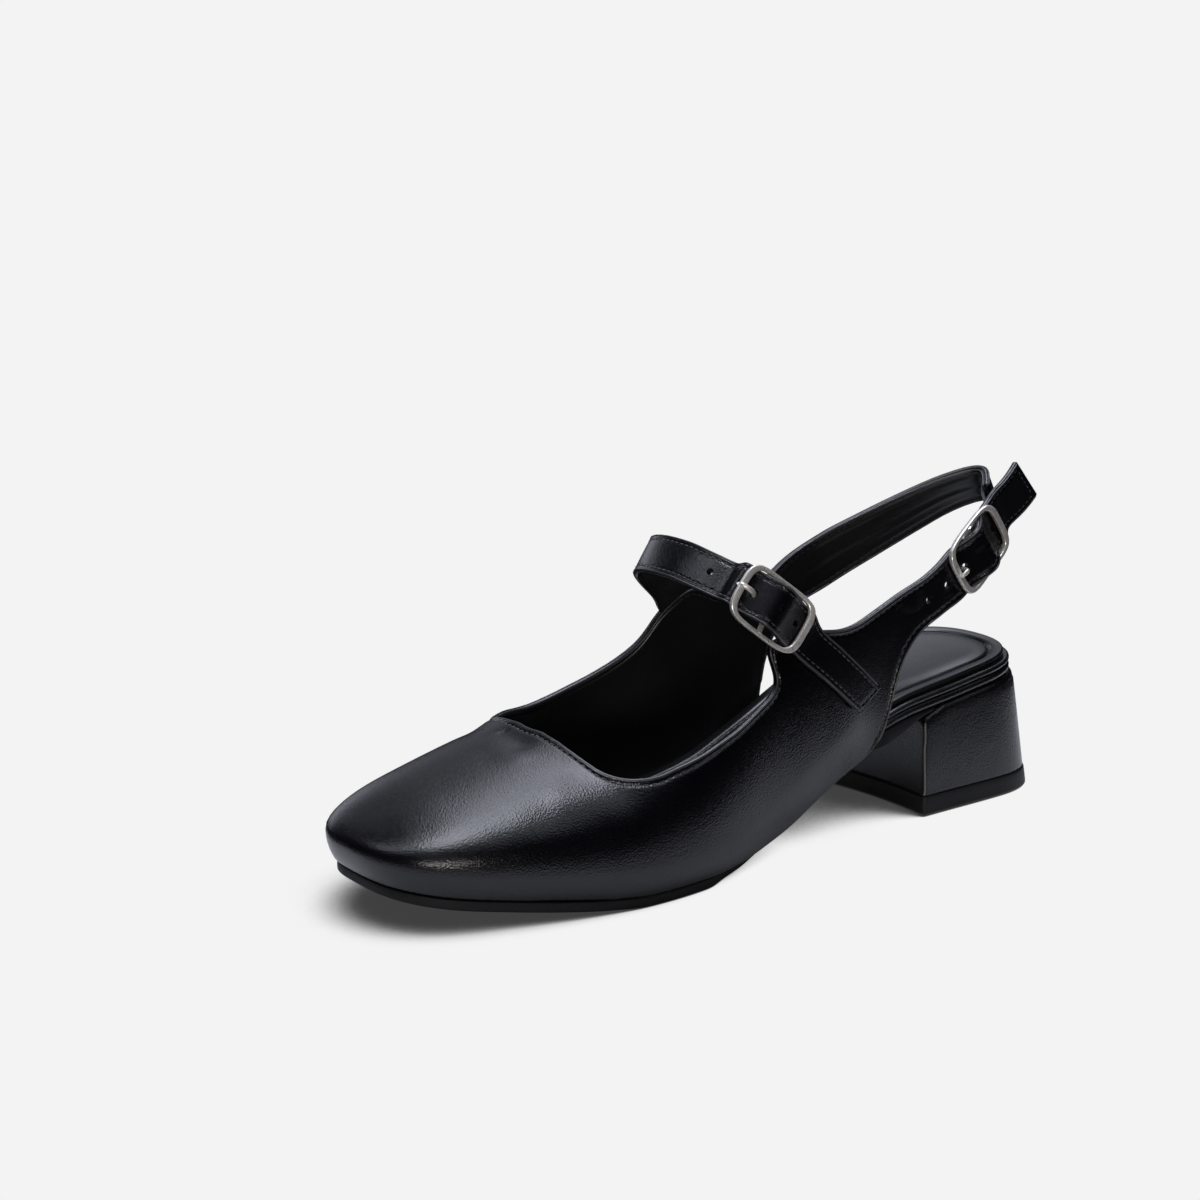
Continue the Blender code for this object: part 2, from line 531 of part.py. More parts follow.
def smooth_path(P, Q, step):
    """both edges through their rows, by shared chord length"""
    d = (np.linalg.norm(np.diff(P, axis=0), axis=1) + np.linalg.norm(np.diff(Q, axis=0), axis=1)) / 2
    k = np.concatenate([[0], np.cumsum(d)]); q = np.linspace(0, k[-1], int(k[-1] / step) + 1)
    return (np.stack([mono(k, P[:, i])(q) for i in range(3)], -1), np.stack([mono(k, Q[:, i])(q) for i in range(3)], -1))


def ribbon(P, Q, thick, outward):
    """closed strip between two edges; outward(i, T, W) picks the side its face points to"""
    M = (P + Q) / 2; T = np.gradient(M, axis=0); Wd = Q - P
    N = np.cross(Wd, T); N = N / np.linalg.norm(N, axis=1, keepdims=True)
    for i in range(len(N)):
        if i == 0:
            if N[0] @ outward < 0:
                N[0] = -N[0]
        elif N[i] @ N[i - 1] < 0:
            N[i] = -N[i]
    h = N * thick / 2
    V = np.stack([P + h, Q + h, Q - h, P - h], 1)
    return V


def ribbon_faces(n):
    F = [(0, 1, 2, 3), tuple(reversed(range(4 * (n - 1), 4 * n)))]
    for i in range(n - 1):
        for j in range(4):
            a, b = 4 * i + j, 4 * i + (j + 1) % 4
            F.append((a, a + 4, b + 4, b))
    return F


SU, SL = smooth_path(PU, PL, 3.0)
STRAP = ribbon(SU, SL, STRAP_T, np.array([-1.0, 0, 0]))


# ---- elastics: from the upper, then folded round the centre bar
def bar_fold(frame, width, thick, tail=1.2, lead=None):
    """path in the buckle's own axes: in under the strap and the bar, round the bar, back over it"""
    c, L, S, N = frame_axes(**frame); r = BAR_R + 0.25 + GORE_T / 2
    uw = [(u, min(-BAR_SINK - r, float(outer_face(u, thick)) - thick - GAP - GORE_T / 2 - 0.2)) for u in (FRAME_A + 1.2, FRAME_A - 0.6, 9.2, 7.2, 5.2, 3.2, 1.4)]
    uw = lead or uw
    uw += [(-r * math.sin(a), -BAR_SINK - r * math.cos(a)) for a in np.linspace(0, math.pi, 7)]
    uw += [(tail / 2, -BAR_SINK + r), (tail, -BAR_SINK + r)]
    M = np.array([c + L * u + N * w for u, w in uw])
    return M - S * width / 2, M + S * width / 2


g1u, g1l = bar_fold(INSTEP_FRAME, 11.0, STRAP_T, lead=[(12.5, -8.0), (10.0, -7.4), (7.4, -6.3), (5.0, -4.7), (3.0, -3.3), (1.3, -2.65)])
inside = -(WALL + GAP + GORE_T / 2 + 0.9)
a1u = world(on_quarter(np.array([102.0, 105.0]), np.array([57.0, 61.5]), inside))
a1l = world(on_quarter(np.array([110.6, 113.6]), np.array([50.3, 54.8]), inside))
GU, GL = smooth_path(np.concatenate([a1u, g1u]), np.concatenate([a1l, g1l]), 1.2)
INSTEP_GORE = ribbon(GU, GL, GORE_T, np.array([1.0, 0, 0]))

sc, sL, sS, sN = frame_axes(**SLING_FRAME)
g2t, g2b = bar_fold(SLING_FRAME, 11.5, WALL)
end_b, end_t = INNER.column(ki[-1])[0], INNER.column(ki[-1])[-1]
on = grid_normals(OUT)


def sling_inner(i, f, depth):
    """a point under the sling's inner face, i columns from its end, f of the way up"""
    r = int(round(f * (len(ROWS) - 1)))
    return OUT[i, r] - on[i, 4] * depth


dg = WALL + GAP + GORE_T / 2 + 0.1
anchor_t = np.array([sling_inner(i, 0.88, dg) for i in (-3, -2, -1)]); anchor_b = np.array([sling_inner(i, 0.25, dg) for i in (-3, -2, -1)])
QU, QL = smooth_path(np.concatenate([anchor_t, g2t]), np.concatenate([anchor_b, g2b]), 1.2)
SLING_GORE = ribbon(QU, QL, GORE_T, np.array([1.0, 0, 0]))


# ---- buckles
def ring_points(frame, n=40, sides=8, power=4.2):
    """wire of a rounded rectangle in the buckle's plane"""
    c, L, S, N = frame_axes(**frame)
    t = np.linspace(0, 2 * math.pi, n, endpoint=False); e = 2 / power
    u = FRAME_A * np.sign(np.cos(t)) * np.abs(np.cos(t)) ** e; v = FRAME_B * np.sign(np.sin(t)) * np.abs(np.sin(t)) ** e
    C = np.stack([u, v], -1); T = np.roll(C, -1, 0) - np.roll(C, 1, 0); R = np.stack([T[:, 1], -T[:, 0]], -1)
    R = R / np.linalg.norm(R, axis=1, keepdims=True)
    out = []
    for i in range(n):
        for j in range(sides):
            a = 2 * math.pi * (j + 0.5) / sides; q = C[i] + R[i] * BAR_R * math.cos(a)
            out.append(c + L * q[0] + S * q[1] + N * BAR_R * math.sin(a))
    F = [(i * sides + j, i * sides + (j + 1) % sides, ((i + 1) % n) * sides + (j + 1) % sides, ((i + 1) % n) * sides + j)
         for i in range(n) for j in range(sides)]
    return np.array(out), F


def rod(p, q, r0, r1, sides=10):
    d = unit(q - p); a = unit(np.cross(d, [0.31, 0.52, 0.79])); b = np.cross(d, a)
    t = 2 * math.pi * np.arange(sides) / sides
    ring = np.cos(t)[:, None] * a + np.sin(t)[:, None] * b
    V = np.concatenate([p + ring * r0, q + ring * r1])
    F = [tuple(range(sides)), tuple(reversed(range(sides, 2 * sides)))]
    F += [(i, i + sides, (i + 1) % sides + sides, (i + 1) % sides) for i in range(sides)]
    return V, F


def centre_bar(frame):
    c, L, S, N = frame_axes(**frame)
    return rod(c - N * BAR_SINK - S * (FRAME_B + 0.1), c - N * BAR_SINK + S * (FRAME_B + 0.1), BAR_R - 0.05, BAR_R - 0.05)


def prong(frame, thick):
    c, L, S, N = frame_axes(**frame); r = 0.8
    high = -BAR_SINK + BAR_R + 0.6 + GORE_T + GAP + thick
    return rod(c - L * 0.5 + N * (high + GAP + r), c - L * (FRAME_A + 0.9) + N * (BAR_R + GAP + r), r, r * 0.75)


# ------------------------------------------------------------------ building the objects
for o in list(bpy.data.objects):
    bpy.data.objects.remove(o, do_unlink=True)

every = [world(np.array(A)).reshape(-1, 3) for A in (OUTSOLE, TOP_LIFT)] + [np.array(UPPER).reshape(-1, 3)]
lo = np.min([e.min(0) for e in every], 0); hi = np.max([e.max(0) for e in every], 0)
SHIFT = np.array([(lo[0] + hi[0]) / 2, (lo[1] + hi[1]) / 2, 0.0])


def material(name, colour, rough, metal=0.0):
    m = bpy.data.materials.new(name)
    m.use_nodes = True
    p = m.node_tree.nodes.get('Principled BSDF')
    p.inputs['Base Color'].default_value = (*colour, 1.0)
    p.inputs['Roughness'].default_value = rough
    p.inputs['Metallic'].default_value = metal
    return m


def build(name, V, F, colour, rough, metal=0.0, sharp=35.0):
    """one closed piece, its origin at its own middle"""
    P = (np.asarray(V, float) - SHIFT) * MM
    c = np.round((P.min(0) + P.max(0)) / 2, 4)
    me = bpy.data.meshes.new(name)
    me.from_pydata([tuple(v) for v in P - c], [], F)
    bm = bmesh.new(); bm.from_mesh(me)
    bmesh.ops.triangulate(bm, faces=[f for f in bm.faces if len(f.verts) > 3], quad_method='SHORT_EDGE')
    bmesh.ops.recalc_face_normals(bm, faces=bm.faces)
    bm.to_mesh(me); bm.free()
    me.shade_smooth(); me.set_sharp_from_angle(angle=math.radians(sharp))
    o = bpy.data.objects.new(name, me)
    o.location = c
    bpy.context.scene.collection.objects.link(o)
    me.materials.append(material(name + '_finish', colour, rough, metal))
    return o


def slab(name, pair, colour, rough, is_world=False):
    A, B = (np.array(g) for g in pair)
    if not is_world:
        A, B = world(A), world(B)
    return build(name, np.concatenate([A.reshape(-1, 3), B.reshape(-1, 3)]), sheet_faces(*A.shape[:2]), colour, rough)


def strip(name, V, colour, rough):
    return build(name, V.reshape(-1, 3), ribbon_faces(len(V)), colour, rough)


BLACK = (0.012, 0.012, 0.013)
slab('outsole', OUTSOLE, (0.02, 0.02, 0.02), 0.7)
slab('heel_block', HEEL_BLOCK, BLACK, 0.4)
slab('heel_top_lift', TOP_LIFT, (0.03, 0.03, 0.03), 0.75)
slab('insole_board', INSOLE_BOARD, BLACK, 0.45)
slab('insole_sock', SOCK, (0.06, 0.06, 0.065), 0.5)
slab('upper', UPPER, BLACK, 0.35, is_world=True)
strip('instep_strap', STRAP, BLACK, 0.35)
strip('instep_gore', INSTEP_GORE, (0.015, 0.015, 0.015), 0.9)
strip('sling_gore', SLING_GORE, (0.015, 0.015, 0.015), 0.9)
for name, frame, thick in (('instep', INSTEP_FRAME, STRAP_T), ('sling', SLING_FRAME, WALL)):
    V, F = ring_points(frame)
    ring = build(name + '_buckle', V, F, (0.62, 0.61, 0.58), 0.3, 1.0, sharp=60)
    V, F = centre_bar(frame)
    bar = build(name + '_bar_tool', V, F, (0.62, 0.61, 0.58), 0.3, 1.0, sharp=60)
    bar.hide_render = True; bar.display_type = 'WIRE'
    u = ring.modifiers.new('centre_bar', 'BOOLEAN'); u.operation = 'UNION'; u.solver = 'EXACT'; u.object = bar
    V, F = prong(frame, thick)
    build(name + '_prong', V, F, (0.62, 0.61, 0.58), 0.3, 1.0, sharp=60)
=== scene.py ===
# Looks of the slingback shoe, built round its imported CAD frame.
# The tables and functions below repeat the part's own sizes, in millimetres, so every
# fine piece lies in the place its CAD solid holds. Station s runs from the back of the
# heel seat (0) to the toe tip; x is positive to the outer side; z is up.
import math
import bpy
import bmesh
import numpy as np
from mathutils import Vector, Matrix
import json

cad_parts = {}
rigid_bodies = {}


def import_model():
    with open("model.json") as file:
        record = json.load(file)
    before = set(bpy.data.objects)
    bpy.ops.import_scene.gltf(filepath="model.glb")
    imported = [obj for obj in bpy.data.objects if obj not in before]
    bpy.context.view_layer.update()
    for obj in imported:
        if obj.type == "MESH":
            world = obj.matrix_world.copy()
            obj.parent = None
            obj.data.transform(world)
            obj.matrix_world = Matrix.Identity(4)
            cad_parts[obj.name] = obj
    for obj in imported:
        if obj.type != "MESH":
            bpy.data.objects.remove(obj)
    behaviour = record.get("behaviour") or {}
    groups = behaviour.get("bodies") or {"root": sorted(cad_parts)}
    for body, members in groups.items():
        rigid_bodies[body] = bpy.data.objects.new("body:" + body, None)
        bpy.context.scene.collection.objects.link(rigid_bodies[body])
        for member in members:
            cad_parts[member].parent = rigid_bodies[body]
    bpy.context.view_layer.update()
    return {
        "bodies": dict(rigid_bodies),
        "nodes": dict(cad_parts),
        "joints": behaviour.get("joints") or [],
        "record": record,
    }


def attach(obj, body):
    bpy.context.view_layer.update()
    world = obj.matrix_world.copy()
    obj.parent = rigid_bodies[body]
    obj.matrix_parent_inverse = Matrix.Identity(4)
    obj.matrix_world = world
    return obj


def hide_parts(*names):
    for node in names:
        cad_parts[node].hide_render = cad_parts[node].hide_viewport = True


for o in list(bpy.data.objects):
    bpy.data.objects.remove(o, do_unlink=True)
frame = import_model()

# ------------------------------------------------------------------ driving sizes
LEN = 245.0          # feather line, heel back to toe tip
Y_BACK = 122.0       # world y of station 0
WALL = 1.8           # upper wall: outer leather, interlining and lining
GAP = 0.3            # clearance between pieces that touch
PIVOT_X = -3.0       # long axis of the forefoot
PIVOT_S = 165.0      # station where the vamp's fan of sections starts
TOE_R = 26.0         # depth of the toe's rounded end
TOE_N = 3.1          # squareness of the toe
TOE_SPRING_OUT = 2.5 # how far the upper bulges past the feather at the tip
SEAT_BACK = 3.0      # back of the heel seat
SEAT_R = 27.0        # depth of the seat's rounded end
SEAT_N = 2.4         # squareness of the seat
HEEL_BACK = -3.0     # back of the heel block at the ground
LIFT_H = 6.2         # top lift height
BREAST = 55.0        # heel breast station
STRAP_T = 1.7        # instep strap thickness
GORE_T = 0.9         # elastic thickness
BAR_R = 0.9          # buckle wire radius
FRAME_A = 11.7       # buckle half length, to the wire's centre
FRAME_B = 8.5        # buckle half width, to the wire's centre
BAR_SINK = 1.0       # centre bar sits this far below the frame
MM = 0.001


# ------------------------------------------------------------------ small curve tools
def spline(x, y):
    """natural cubic through the rows, straight beyond them"""
    x = np.array(x, float); y = np.array(y, float); n = len(x); h = np.diff(x)
    A = np.zeros((n, n)); b = np.zeros(n); A[0, 0] = A[-1, -1] = 1
    for i in range(1, n - 1):
        A[i, i - 1] = h[i - 1]; A[i, i] = 2 * (h[i - 1] + h[i]); A[i, i + 1] = h[i]
        b[i] = 6 * ((y[i + 1] - y[i]) / h[i] - (y[i] - y[i - 1]) / h[i - 1])
    m = np.linalg.solve(A, b)

    def f(q):
        q = np.asarray(q, float); i = np.clip(np.searchsorted(x, q) - 1, 0, n - 2)
        t = q - x[i]; hh = h[i]
        v = y[i] + t * ((y[i + 1] - y[i]) / hh - hh * (2 * m[i] + m[i + 1]) / 6) + t * t * m[i] / 2 + t ** 3 * (m[i + 1] - m[i]) / (6 * hh)
        lo = y[0] + (q - x[0]) * ((y[1] - y[0]) / h[0] - h[0] * m[1] / 6)
        hi = y[-1] + (q - x[-1]) * ((y[-1] - y[-2]) / h[-1] + h[-1] * m[-2] / 6)
        return np.where(q < x[0], lo, np.where(q > x[-1], hi, v))
    return f


def mono(x, y):
    """monotone cubic through the rows, level beyond them"""
    x = np.array(x, float); y = np.array(y, float); h = np.diff(x); d = np.diff(y) / h; n = len(x); m = np.zeros(n)
    for i in range(1, n - 1):
        if d[i - 1] * d[i] > 0:
            a = 2 * h[i] + h[i - 1]; b = h[i] + 2 * h[i - 1]; m[i] = (a + b) / (a / d[i - 1] + b / d[i])
    m[0] = d[0]; m[-1] = d[-1]

    def f(q):
        q = np.clip(np.asarray(q, float), x[0], x[-1]); i = np.clip(np.searchsorted(x, q) - 1, 0, n - 2)
        t = (q - x[i]) / h[i]
        return (y[i] * (1 + 2 * t) * (1 - t) ** 2 + h[i] * m[i] * t * (1 - t) ** 2
                + y[i + 1] * t * t * (3 - 2 * t) + h[i] * m[i + 1] * t * t * (t - 1))
    return f


def step01(v, a, b):
    w = np.clip((np.asarray(v, float) - a) / (b - a), 0, 1)
    return w * w * (3 - 2 * w)


def table(names, rows):
    a = np.array(rows, float)
    return {k: a[:, i] for i, k in enumerate(names)}


# ------------------------------------------------------------------ the last
# feather line plan and heights, a row per station
SOLE = table(('s', 'med', 'lat', 'feather', 'ground'), [
    (0, -24.5, 24.0, 39.8, 38.3),
    (25, -25.5, 25.0, 37.8, 36.4),
    (45, -25.0, 25.2, 35.0, 34.2),
    (51, -24.8, 25.3, 34.3, 33.3),
    (55, -24.6, 25.4, 33.8, 32.3),
    (60, -24.4, 25.6, 33.2, 30.3),
    (65, -24.2, 25.8, 32.3, 28.2),
    (75, -23.8, 26.5, 29.8, 24.9),
    (87, -23.8, 27.3, 25.0, 20.6),
    (100, -24.6, 28.4, 18.6, 15.0),
    (112, -26.6, 30.0, 12.8, 9.4),
    (125, -30.2, 32.2, 7.9, 4.7),
    (137, -33.4, 34.8, 4.3, 1.2),
    (148, -35.7, 36.9, 3.1, 0.0),
    (172, -38.0, 38.2, 3.1, 0.0),
    (184, -37.0, 37.2, 4.2, 1.1),
    (195, -34.8, 35.6, 5.7, 2.6),
    (220, -28.8, 30.0, 9.7, 6.6),
    (245, -21.6, 23.6, 14.0, 11.0)])
# upper body: bulge past the feather, its height over the ground line, ridge height, fullness
BODY = table(('s', 'out', 'up', 'ridge', 'full'), [
    (50, 2.0, 18.5, 130, 2.2),
    (75, 3.0, 19.8, 132, 2.2),
    (100, 4.0, 19.8, 122, 2.2),
    (125, 4.0, 17.3, 99.5, 2.2),
    (150, 4.0, 14.8, 71.5, 2.3),
    (175, 3.7, 13.8, 48.5, 2.5),
    (200, 3.4, 12.9, 40, 2.5),
    (225, 3.0, 12.0, 34, 2.5),
    (245, 2.2, 11.3, 29, 2.5)])
med_x, lat_x = spline(SOLE['s'], SOLE['med']), spline(SOLE['s'], SOLE['lat'])
feather, ground = mono(SOLE['s'], SOLE['feather']), mono(SOLE['s'], SOLE['ground'])
bulge_out, bulge_up = mono(BODY['s'], BODY['out']), mono(BODY['s'], BODY['up'])
ridge, fullness = spline(BODY['s'], BODY['ridge']), mono(BODY['s'], BODY['full'])


def bulge_z(s):
    return ground(s) + bulge_up(s)


def axis_x(s):
    """centre line of the sole: straight at the heel, drifting inward to the toe"""
    return PIVOT_X * step01(s, 60, 150)


def half(s, side, extra):
    """half width from the forefoot axis; extra 0 at the feather, 1 at the bulge"""
    e = extra * bulge_out(s)
    return np.where(side > 0, lat_x(s) + e - PIVOT_X, PIVOT_X - med_x(s) + e)


def toe_close(s, extra):
    return np.maximum(0, (s - (LEN - TOE_R)) / (TOE_R + TOE_SPRING_OUT * extra))


def rho(x, s, extra=1.0):
    """0 on the axis, 1 on the outline"""
    d = x - PIVOT_X
    a = np.abs(d) / half(s, np.where(d >= 0, 1, -1), extra); b = toe_close(s, extra)
    return (a ** TOE_N + b ** TOE_N) ** (1 / TOE_N)


def ray_out(phi, extra=1.0):
    """outline point on the ray from the pivot; phi 0 outer side, 90 toe, 180 inner side"""
    a = np.radians(np.asarray(phi, float)); D = np.stack([np.cos(a), np.sin(a)], -1)
    lo = np.ones(a.shape); hi = np.full(a.shape, 130.0)
    for _ in range(44):
        mid = (lo + hi) / 2
        q = rho(PIVOT_X + D[..., 0] * mid, PIVOT_S + D[..., 1] * mid, extra) < 1
        lo = np.where(q, mid, lo); hi = np.where(q, hi, mid)
    return np.stack([PIVOT_X + D[..., 0] * lo, PIVOT_S + D[..., 1] * lo], -1)


def vamp_z(x, s):
    """height of the upper's outer face over a plan point"""
    r = np.clip(rho(x, s), 0, 1); m = fullness(s); z0 = bulge_z(s)
    return z0 + (ridge(s) - z0) * (1 - r ** m) ** (1 / m)


def low_edge(s):
    """lowest edge of the upper: laps the sole edge at the waist, rests on the sole in front"""
    w = step01(s, 112, 146)
    return (ground(s) + 0.7) * (1 - w) + (feather(s) + GAP) * w


def side_x(s, z, side):
    """outer face of the upper at a station and height"""
    m = fullness(s); z0 = bulge_z(s); t = np.clip((z - z0) / (ridge(s) - z0), 0, 1)
    hi = half(s, side, 1.0) * (1 - t ** m) ** (1 / m)
    q = np.clip((z0 - z) / (z0 - low_edge(s)), 0, 1.2)
    lo = half(s, side, 1.0) - bulge_out(s) * q ** 2
    return PIVOT_X + side * np.where(z > z0, hi, lo)


# ------------------------------------------------------------------ the upper's edges
# straps: bottom edge point and top edge point of each section
OUT_STRAP = table(('bx', 'bs', 'bz', 'tx', 'ts', 'tz'), [
    (17.3, -1.0, 95.5, 19.8, 12.5, 108.0),
    (20.6, 14.0, 85.8, 23.3, 25.0, 97.4),
    (23.9, 26.0, 79.4, 25.8, 35.0, 90.6),
    (26.9, 40.0, 72.8, 28.4, 50.0, 84.0),
    (28.6, 48.5, 69.1, 29.6, 59.5, 80.6),
    (29.5, 56.0, 65.5, 30.1, 68.0, 76.8),
    (29.9, 64.0, 60.3, 30.2, 76.0, 73.0),
    (30.0, 69.5, 53.5, 30.3, 83.0, 70.2),
    (30.0, 73.2, 42.5, 30.4, 90.0, 67.8),
    (29.5, 75.2, 32.5, 30.5, 96.6, 67.2)])
# quarters: bottom station, top station, top height
OUT_QUARTER = table(('bs', 'ts', 'tz', 'lean'), [
    (78.5, 103, 68.2, 0), (88, 110, 68.5, 0), (95.5, 118, 68.5, 0), (102.5, 123.8, 68.0, 24),
    (109, 125.6, 65.4, 46), (114.2, 124.0, 60.5, 46), (119, 123.0, 56.5, 46), (124.4, 125.3, 53.3, 26),
    (131.8, 131.7, 50.0, 6), (140.6, 140.3, 45.9, 0), (149, 148.2, 43.4, 0), (157, 156, 40.8, 0), (165, 165, 38.8, 0)])
IN_QUARTER = table(('bs', 'ts', 'tz'), [
    (165, 165, 38.7), (157, 156.5, 40.4), (149, 148, 43.0), (141, 141, 45.4),
    (133, 134.5, 48.2), (127, 128, 51.8), (122, 122.6, 56.2), (118, 120.0, 60.6),
    (113, 117.6, 64.4), (107, 112.6, 68.4), (100, 107.0, 71.6), (94, 102, 69.0),
    (90.5, 96, 66.6), (86, 89.8, 65.8), (82.6, 84.5, 66.5)])
IN_STRAP = table(('bx', 'bs', 'bz', 'tx', 'ts', 'tz'), [
    (-25.6, 79.7, 32.5, -27.1, 80.5, 68.0),
    (-26.5, 77.4, 42.0, -27.5, 77.0, 69.7),
    (-26.6, 73.2, 51.0, -27.6, 73.5, 71.9),
    (-26.2, 67.6, 57.4, -27.4, 70.0, 74.3),
    (-25.3, 61.5, 60.8, -26.8, 65.5, 77.1),
    (-23.9, 55.5, 63.3, -25.7, 59.5, 80.1),
    (-21.5, 47.5, 67.9, -23.4, 52.8, 83.9),
    (-18.9, 39.5, 72.2, -20.8, 46.0, 87.1),
    (-16.0, 29.5, 77.5, -17.3, 37.5, 91.2),
    (-12.9, 20.5, 82.5, -13.4, 28.5, 95.4),
    (-9.3, 12.8, 87.2, -8.6, 20.3, 99.5),
    (-5.4, 6.6, 90.4, -4.2, 14.6, 102.2),
    (-2.0, 3.0, 92.0, -0.9, 10.8, 103.7),
    (1.2, 1.8, 92.7, 2.2, 9.4, 104.3),
    (4.4, 3.1, 92.4, 5.0, 10.3, 103.9),
    (8.0, 6.6, 90.8, 8.2, 13.0, 102.4),
    (12.2, 11.2, 88.3, 12.2, 17.0, 99.8)])
# topline across the vamp
THROAT = table(('x', 's'), [
    (36.8, 165), (36.5, 168), (35.4, 171.8), (33.4, 176.4), (30.8, 180.1), (27.3, 182.8), (22.3, 184.2), (15.9, 184.7),
    (8, 184.4), (0, 184.1), (-8, 184.0), (-15, 183.6), (-22, 182.6), (-27.5, 180.6), (-31.4, 176.8), (-33.6, 171.5), (-34.6, 165)])


def side_rows(side):
    """edge rows of one side from the strap's end to the fan, as (bottom, top) triples"""
    st, qu = (OUT_STRAP, OUT_QUARTER) if side > 0 else (IN_STRAP, IN_QUARTER)
    b1 = np.stack([st['bx'], st['bs'], st['bz']], -1); t1 = np.stack([st['tx'], st['ts'], st['tz']], -1)
    zb = low_edge(qu['bs'])
    b2 = np.stack([side_x(qu['bs'], zb, side), qu['bs'], zb], -1)
    t2 = np.stack([side_x(qu['ts'], qu['tz'], side), qu['ts'], qu['tz']], -1)
    B, T = (np.concatenate([b1, b2]), np.concatenate([t1, t2])) if side > 0 else (np.concatenate([b2, b1]), np.concatenate([t2, t1]))
    return B, T


class Edges:
    """bottom and top edge curves of one side, by chord length"""
    def __init__(self, side):
        self.side = side
        self.B, self.T = side_rows(side)
        d = np.linalg.norm(np.diff(self.B, axis=0), axis=1) + np.linalg.norm(np.diff(self.T, axis=0), axis=1)
        self.k = np.concatenate([[0], np.cumsum(d / 2)])
        self.fb = [mono(self.k, self.B[:, i]) for i in range(3)]
        self.ft = [mono(self.k, self.T[:, i]) for i in range(3)]
        lean = (OUT_QUARTER if side > 0 else {}).get('lean', np.zeros(0))
        self.lean = mono(self.k, np.concatenate([np.zeros(len(self.k) - len(lean)), lean]))

    def column(self, k, n=70):
        """one section of the outer face, bottom to top"""
        b = np.array([f(k) for f in self.fb]); t = np.array([f(k) for f in self.ft])
        u = np.linspace(0, 1, n)[:, None]
        P = b * (1 - u) + t * u
        P[:, 1] -= self.lean(k) * (u ** 4 * (1 - u))[:, 0]      # sections meet the upright edge squarely
        s, z = P[:, 1], P[:, 2]
        w = step01(s, 62, 96)
        P = P.copy(); P[:, 0] = P[:, 0] * (1 - w) + side_x(np.maximum(s, 50), z, self.side) * w
        return P


_tp = np.degrees(np.arctan2(THROAT['s'] - PIVOT_S, THROAT['x'] - PIVOT_X))
_tr = np.hypot(THROAT['s'] - PIVOT_S, THROAT['x'] - PIVOT_X)
_throat_r = mono(_tp, _tr)
OUTER, INNER = Edges(1), Edges(-1)


def throat_radius(phi):
    """ends match the tops of the two quarters"""
    e0 = OUTER.T[-1][0] - PIVOT_X; e1 = PIVOT_X - INNER.T[0][0]
    r = _throat_r(phi)
    w0 = 1 - step01(phi, 0, 14); w1 = step01(phi, 166, 180)
    return r + (e0 - _tr[0]) * w0 + (e1 - _tr[-1]) * w1


def fan_column(phi, n=70):
    """one section of the vamp on a ray from the pivot, feather to throat"""
    P1 = ray_out(phi, 1.0); P0 = ray_out(phi, 0.0)
    q = np.linspace(1, 0, n // 3)[:, None]
    tuck = P1 + (P0 - P1) * q ** 2
    z = bulge_z(P1[1]) * (1 - q[:, 0]) + low_edge(P0[1]) * q[:, 0]
    a = np.radians(phi); D = np.array([math.cos(a), math.sin(a)])
    R1 = math.hypot(P1[0] - PIVOT_X, P1[1] - PIVOT_S)
    r_end = float(throat_radius(phi)) / R1
    m = 2.4; psi_end = math.acos(min(1.0, r_end) ** (m / 2))
    psi = np.linspace(0, psi_end, n)[1:]
    r = np.cos(psi) ** (2 / m)
    Q = np.array([PIVOT_X, PIVOT_S]) + D * (R1 * r)[:, None]
    zt = vamp_z(Q[:, 0], Q[:, 1])
    return np.concatenate([np.column_stack([tuck, z]), np.column_stack([Q, zt])])


def resample(P, f):
    """points at the fractions f of a curve's length"""
    d = np.concatenate([[0], np.cumsum(np.linalg.norm(np.diff(P, axis=0), axis=1))])
    q = np.asarray(f) * d[-1]
    return np.stack([np.interp(q, d, P[:, i]) for i in range(3)], -1)


# ------------------------------------------------------------------ buckle frames
def unit(v):
    v = np.asarray(v, float)
    return v / np.linalg.norm(v)


def world(P):
    """(x, s, z) in millimetres to world axes in millimetres"""
    P = np.asarray(P, float)
    return np.stack([P[..., 0], Y_BACK - P[..., 1], P[..., 2]], -1)


def frame_axes(centre, along, across):
    """right-handed axes of a buckle in world axes: along the strap, across it, outward"""
    c = world(centre); L = unit(np.array(along) * [1, -1, 1]); S = np.array(across) * [1, -1, 1]
    S = unit(S - L * (S @ L)); N = np.cross(S, L)
    if N[0] < 0:
        N = -N
    return c, L, S, N


INSTEP_FRAME = dict(centre=(30.8, 124.0, 77.4), along=(6.5, -15.8, -13.2), across=(0.7, 9.8, -11.0))
SLING_FRAME = dict(centre=(28.6, 37.4, 84.0), along=(-3.4, -17.4, 11.2), across=(1.0, -10.2, -13.6))


# ==== solids
def outline_half(s, side, inset, back=SEAT_BACK, seat_r=SEAT_R):
    """distance from the sole's axis to its edge, rounded at seat and toe"""
    s = np.asarray(s, float); c = axis_x(s)
    w = np.where(side > 0, lat_x(s) - c, c - med_x(s)) - inset
    hb = np.clip((back + seat_r - s) / (seat_r - inset), 0, 1)
    tb = np.clip((s - (LEN - TOE_R)) / (TOE_R - inset), 0, 1)
    return w * (1 - hb ** SEAT_N) ** (1 / SEAT_N) * (1 - tb ** TOE_N) ** (1 / TOE_N)


def end_rows(n, depth, power, first=0.16):
    """distances from a rounded end, spaced so that its arc is even"""
    a = np.linspace(first, math.pi / 2, n)
    return depth * (1 - np.cos(a) ** (2 / power))


